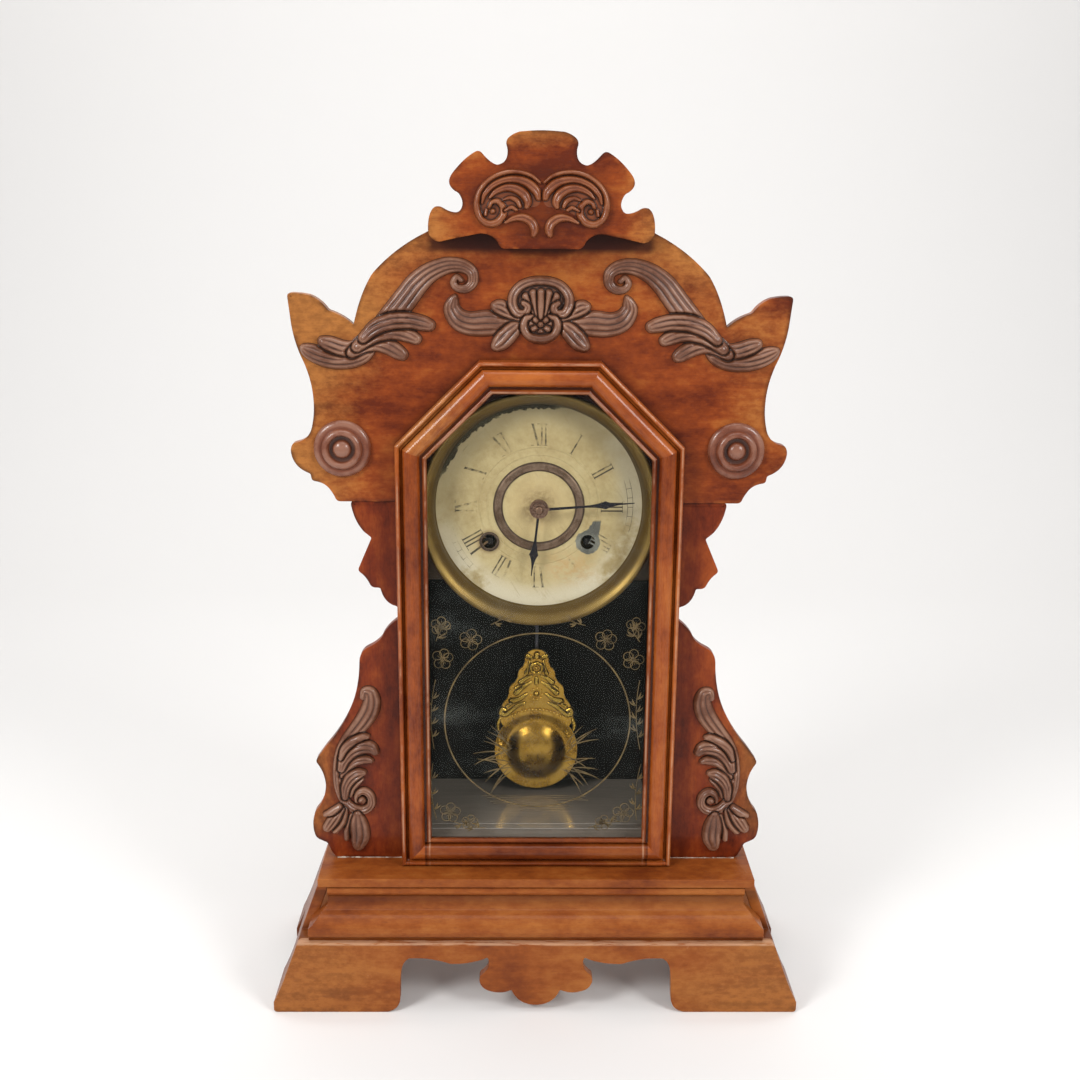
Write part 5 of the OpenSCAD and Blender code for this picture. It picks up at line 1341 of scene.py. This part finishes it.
class CLOCK_OT_tablet(Step, bpy.types.Operator):
    """Draw the gilt sprigs on the glass"""
    bl_idname = "clock.tablet"
    bl_label = "Gilt glass"

    def build(self):
        refinished("door_glass", "glass", "door", "glass", 0.0)
        y = GLASS_BACK + SKIN
        w = sizes().gilt_width
        ring_z, ring_radius = 191.5, 60.0
        lines = [circle(0, ring_z, ring_radius, 160, 1.2 * w, y)]
        seed = np.random.default_rng(11)

        def blade(root, tip, bow, thin, thick, first=0.1):
            """A leaf that is widest in its middle."""
            width = thin + thick * w * np.sin(np.linspace(first, math.pi, 12))
            lines.append(ribbon(leaf_line(root, tip, bow), width, y))

        def sprig(x, z, angle, length, leaves, size=6.0):
            """A stem with paired leaves."""
            tip = (x + length * math.cos(angle), z + length * math.sin(angle))
            stem = leaf_line((x, z), tip, 0.05)
            lines.append(ribbon(stem, 0.7 * w, y))
            for k in range(leaves):
                spot = stem[2 + int(k * 8 / max(leaves, 1))]
                side = 1 if k % 2 else -1
                for spread in (0.5, 0.95):
                    a = angle + side * spread
                    end = spot + size * np.array([math.cos(a), math.sin(a)])
                    blade(spot, end, 0.1 * side, 0.2, 1.1)

        def blossom(x, z, radius):
            """Five open petals."""
            for k in range(5):
                a = 2 * math.pi * k / 5 + seed.uniform(0, 0.3)
                cx, cz = x + 0.62 * radius * math.cos(a), z + 0.62 * radius * math.sin(a)
                lines.append(circle(cx, cz, 0.46 * radius, 14, 0.6 * w, y))
                lines.append(ribbon(leaf_line((x, z), (cx, cz), 0.0), 0.35 * w, y))

        for side in (-1, 1):
            blossom(side * 43, 247, 6.6)
            blossom(side * 61, 234, 6.4)
            blossom(side * 62, 256, 5.8)
            sprig(side * 65, 246, math.pi / 2 + side * 0.5, 14, 3)
            sprig(side * 67, 172, math.pi / 2 + side * 0.03, 48, 7, 5.5)
            sprig(side * 66, 122, math.pi / 2 - side * 0.05, 40, 5, 5.5)
            sprig(side * 30, 257, math.pi / 2 + side * 1.2, 16, 3, 4.5)
            blossom(side * 57, 127, 6.4)
            blossom(side * 44, 120, 5)
            sprig(side * 34, 116, math.pi / 2 - side * 1.35, 22, 4, 5)
            for k in range(13):
                a = math.radians(90 - side * (38 + k * 9.2))
                length = 17 + 7 * seed.uniform(0, 1)
                root = (side * (16 + 6 * seed.uniform(0, 1)), 166 + 10 * seed.uniform(-1, 1))
                tip = (root[0] + length * math.cos(a), root[1] + length * math.sin(a))
                blade(root, tip, 0.05 * side, 0.15, 0.9, 0.15)
        for k in range(9):
            z, half, x = 139 - k * 1.3, 34 - 2.6 * k, seed.uniform(-6, 6)
            ripple = [(x - half + t * half * 2 / 11, z + 0.25 * math.sin(t)) for t in range(12)]
            lines.append(ribbon(ripple, 0.35 * w, y))
        dress(drawn("GiltDrawing", lines), FINISH["gilt"], "door", "brass")


# Dial

NUMERALS = ("XII", "I", "II", "III", "IIII", "V", "VI", "VII", "VIII", "IX", "X", "XI")
# Width of each letter, and the radii of the figures' feet and tops and of the minute track's circles
CELL = {"I": 2.5, "V": 5.2, "X": 5.4}
FIGURES = (39.5, 53.0)
TRACK = (56.3, 59.6)


def numeral_lines(text, hour, inner, outer, y):
    """One hour's figure as flat strokes, its foot towards the middle."""
    width = sum(CELL[c] for c in text)
    angle = math.radians(90 - 30 * hour)
    across = np.array([math.sin(angle), -math.cos(angle)])
    outwards = np.array([math.cos(angle), math.sin(angle)])

    def at(u, v):
        return np.array([0, DIAL_Z]) + across * u + outwards * (inner + v * (outer - inner))

    lines = []

    def stroke(u0, v0, u1, v1, thick):
        points = [at(u0 + (u1 - u0) * t, v0 + (v1 - v0) * t) for t in np.linspace(0, 1, 5)]
        lines.append(ribbon(points, thick, y))

    u = -width / 2
    for c in text:
        w = CELL[c]
        m = u + w / 2
        if c == "I":
            stroke(m, 0, m, 1, 0.95)
            stroke(m - 1.1, 0, m + 1.1, 0, 0.4)
            stroke(m - 1.1, 1, m + 1.1, 1, 0.4)
        elif c == "V":
            stroke(u + 0.9, 1, m + 0.2, 0, 1.35)
            for spot in (u + 0.9, u + w - 0.7):
                stroke(spot - 1, 1, spot + 1, 1, 0.35)
        else:
            stroke(u + 0.9, 1, u + w - 0.9, 0, 1.35)
            for spot in (u + 0.9, u + w - 0.9):
                stroke(spot - 0.9, 1, spot + 0.9, 1, 0.35)
                stroke(spot - 0.9, 0, spot + 0.9, 0, 0.35)
        u += w
    return lines


class CLOCK_OT_dial(Step, bpy.types.Operator):
    """Paper and print the dial"""
    bl_idname = "clock.dial"
    bl_label = "Dial"

    def build(self):
        coat(FINISH["paper"], "dial_plate")
        refinished("dial_bezel", "bezel", "case", "bezel_brass", 0.0, 35)
        refinished("centre_ring", "ring", "case", "bezel_brass", 0.0, 40)
        y = DIAL_LOW[1] - INK_SKIN
        lines = []
        for hour, text in enumerate(NUMERALS):
            lines += numeral_lines(text, hour, *FIGURES, y)
        circles = [circle(0, DIAL_Z, radius, 180, 0.28, y) for radius in TRACK]
        dress(drawn("DialFigures", lines), FINISH["ink"], "case", "dial_paper")
        dress(drawn("DialCircles", circles), FINISH["track"], "case", "dial_paper")
        self.minute_track(y)
        profile = [(4.7, y), (4.75, y - 0.5), (5.4, y - 0.75), (6.2, y - 0.45), (6.4, y + 0.1)]
        eyelet = lathe("WindingEyelet", profile, (-WINDING[0], DIAL_Z - WINDING[1]), 64)
        dress(eyelet, FINISH["ring"], "case", "bezel_brass")

    def minute_track(self, y):
        """The minute marks: one flat mark set round a circle."""
        tree = Tree("MinuteTrack", Count=60, Radius=sum(TRACK) / 2 * MM)
        ring = tree.add("GeometryNodeMeshCircle", {"fill_type": "NONE"},
                        {"Vertices": tree.input("Count"), "Radius": tree.input("Radius")})
        mark = tree.add("GeometryNodeMeshGrid", {}, {"Size X": 3.2 * MM, "Size Y": 0.3 * MM,
                                                     "Vertices X": 2, "Vertices Y": 2})
        place = tree.add("GeometryNodeInputPosition")
        turn = tree.add("FunctionNodeAlignEulerToVector", {"axis": "X"}, {"Vector": place.outputs[0]})
        marks = tree.instances(ring, mark, turn.outputs[0])
        up = tree.upright(marks, (0, y * MM, DIAL_Z * MM))
        piece = tree.result(up, FINISH["track"], "MinuteMarks", Count=sizes().ticks)
        dress(piece, FINISH["track"], "case", "dial_paper")


class CLOCK_OT_hands(Step, bpy.types.Operator):
    """Finish the hands"""
    bl_idname = "clock.hands"
    bl_label = "Hands"

    def build(self):
        refinished("minute_hand", "hand", "minute", "blued_steel", 0.08)
        refinished("hour_hand", "hand", "hour", "blued_steel", 0.08)
        refinished("hand_nut", "hub", "minute", "brass", 0.1)


# Movement, pendulum and gong

class CLOCK_OT_movement(Step, bpy.types.Operator):
    """Finish the movement"""
    bl_idname = "clock.movement"
    bl_label = "Movement"

    def build(self):
        for finish, nodes in (
                ("plate", ("front_plate",)),
                ("brass", ("back_plate", "minute_wheel", "hour_wheel", "time_main_wheel",
                           "strike_main_wheel", "second_wheel", "centre_wheel", "third_wheel",
                           "escape_wheel", "strike_second_wheel", "warning_wheel", "fly", "count_wheel")),
                ("dark_steel", ("time_winding_arbor", "strike_winding_arbor", "centre_arbor")),
                ("steel", ("time_click", "strike_click", "verge", "screws", "hammer")),
                ("rod", ("suspension_spring", "pendulum_rod")),
                ("blued", ("mainsprings", "gong")), ("iron", ("gong_base",))):
            coat(FINISH[finish], *nodes)


class CLOCK_OT_pendulum(Step, bpy.types.Operator):
    """Stamp the bob"""
    bl_idname = "clock.pendulum"
    bl_label = "Pendulum bob"

    def build(self):
        coat(FINISH["bob"], "rating_nut")
        refinished("pendulum_bob", "bob", "pendulum", "bob_brass", 0.15, 30)
        # The front of the flat plate above the disc
        plate = min(v.co.y for v in NODES["pendulum_bob"].data.vertices if v.co.z > 0.18) / MM
        ornament = relief("BobOrnament", both(ORNAMENT_SIDE) + ORNAMENT_MIDDLE, plate, step=0.22, sink=0.3)
        dress(ornament, FINISH["ornament"], "pendulum", "bob_brass")
        for name, count, radius, bead, start, sweep, height in (
                ("OrnamentArch", 15, 31.0, 1.05, 57, 66, 0), ("OrnamentRosette", 9, 4.1, 0.85, 0, 320, 42.3)):
            tree = Tree(name, Count=count, Radius=radius * MM, Bead=bead * MM)
            arc = tree.add("GeometryNodeCurveArc", {}, {
                "Resolution": tree.input("Count"), "Radius": tree.input("Radius"),
                "Start Angle": math.radians(start), "Sweep Angle": math.radians(sweep)})
            ball = tree.add("GeometryNodeMeshUVSphere", {}, {"Segments": 10, "Rings": 6,
                                                            "Radius": tree.input("Bead")})
            up = tree.upright(tree.instances(arc, ball), (0, (plate - 0.1) * MM, (BOB_Z + height) * MM))
            dress(tree.result(up, FINISH["ornament"], name), FINISH["ornament"], "pendulum", "bob_brass")


# Stage

class CLOCK_OT_stage(Step, bpy.types.Operator):
    """Set the floor, the lights and the camera"""
    bl_idname = "clock.stage"
    bl_label = "Stage"

    def build(self):
        scene = bpy.context.scene
        tone = tuple(sizes().floor_tone)
        back, bend, top, half = 0.9, 0.9, 4.0, 4.0
        sweep = [(-3.0, 0.0), (back, 0.0)]
        for a in np.linspace(0.1, QUARTER, 12):
            sweep.append((back + bend * math.sin(a), bend - bend * math.cos(a)))
        sweep.append((back + bend, top))
        verts = [(x / MM, y / MM, z / MM) for y, z in sweep for x in (-half, half)]
        faces = [(2 * i, 2 * i + 1, 2 * i + 3, 2 * i + 2) for i in range(len(sweep) - 1)]
        floor = new_object("Floor", verts, faces, 60)
        cloth = Finish("BackdropPaper", Base_Color=tone, Roughness=0.9, Specular_IOR_Level=0.2)
        grain = cloth.noise(0.002, 2, 0.5)
        cloth.set(Base_Color=cloth.mix(grain * 0.06, tone, shade(tone, 0.92)))
        floor.data.materials.append(cloth.material)
        scene.world = scene.world or bpy.data.worlds.new("Studio")
        self.sky(scene.world)
        middle = Vector((0, 0, 0.27))
        for name, spot, aim, size, power in (
                ("LeftPanel", (-1.05, -1.0, 1.1), middle, (0.5, 0.5), 17),
                ("RightPanel", (1.05, -1.0, 1.05), middle, (0.5, 0.5), 13.5),
                ("TopPanel", (0.0, -0.25, 1.9), middle, (1.2, 0.8), 8),
                ("BackdropPanel", (0.0, 0.55, 2.2), Vector((0, 1.7, 0.6)), (2.4, 0.6), 24)):
            data = bpy.data.lights.new(name, "AREA")
            data.shape, data.size, data.size_y = "RECTANGLE", size[0], size[1]
            data.energy = power
            lamp = bpy.data.objects.new(name, data)
            lamp.location = spot
            lamp.rotation_euler = (aim - Vector(spot)).to_track_quat("-Z", "Y").to_euler()
            scene.collection.objects.link(lamp)
        camera = bpy.data.cameras.new("Camera")
        camera.sensor_width, camera.lens = 36, 44.0335
        camera.clip_start, camera.clip_end = 0.01, 50
        eye = bpy.data.objects.new("Camera", camera)
        eye.location = (-0.01089, -0.8279, 0.5189)
        eye.rotation_euler = [math.radians(a) for a in (75.5373, -0.4846, -0.7026)]
        scene.collection.objects.link(eye)
        scene.camera = eye
        scene.view_settings.view_transform = "Standard"

    def sky(self, world):
        """A pale sky that looks brighter to the camera and in reflections than it lights."""
        world.use_nodes = True
        tree = world.node_tree
        tree.nodes.clear()

        def node(kind, *sources, **settings):
            made = tree.nodes.new("ShaderNode" + kind)
            for key, value in settings.items():
                setattr(made, key, value)
            for slot, source in enumerate(sources):
                if isinstance(source, bpy.types.NodeSocket):
                    tree.links.new(source, made.inputs[slot])
                else:
                    made.inputs[slot].default_value = source
            return made.outputs

        rays = node("LightPath")
        seen = node("Math", rays["Is Camera Ray"], rays["Is Glossy Ray"], operation="MAXIMUM")
        seen = node("Math", seen[0], rays["Is Transmission Ray"], operation="MAXIMUM")
        lighting = node("Background", (0.97, 0.98, 1.0, 1), 0.30)
        showing = node("Background", (0.95, 0.94, 0.93, 1), 0.80)
        node("OutputWorld", node("MixShader", seen[0], lighting[0], showing[0])[0])


STEPS = (CLOCK_OT_finishes, CLOCK_OT_base, CLOCK_OT_case, CLOCK_OT_boards, CLOCK_OT_carvings,
         CLOCK_OT_rosettes, CLOCK_OT_door, CLOCK_OT_tablet, CLOCK_OT_dial, CLOCK_OT_hands,
         CLOCK_OT_movement, CLOCK_OT_pendulum, CLOCK_OT_stage)


class CLOCK_PT_panel(bpy.types.Panel):
    """Lists the clock's pieces and settings"""
    bl_idname = "CLOCK_PT_panel"
    bl_label = "Kitchen Clock"
    bl_space_type = "VIEW_3D"
    bl_region_type = "UI"
    bl_category = "Kitchen Clock"

    def draw(self, context):
        settings = context.scene.clock_sizes
        for name in settings.bl_rna.properties.keys():
            if name not in ("rna_type", "name"):
                self.layout.prop(settings, name)
        for step in STEPS:
            self.layout.operator(step.bl_idname)


def register():
    for kind in (CLOCK_Sizes, *STEPS, CLOCK_PT_panel):
        bpy.utils.register_class(kind)
    bpy.types.Scene.clock_sizes = bpy.props.PointerProperty(type=CLOCK_Sizes)


def unregister():
    del bpy.types.Scene.clock_sizes
    for kind in (CLOCK_PT_panel, *reversed(STEPS), CLOCK_Sizes):
        bpy.utils.unregister_class(kind)


def main():
    register()
    for step in STEPS:
        group, name = step.bl_idname.split(".")
        getattr(getattr(bpy.ops, group), name)()
    bpy.context.view_layer.update()


if __name__ == "__main__":
    main()
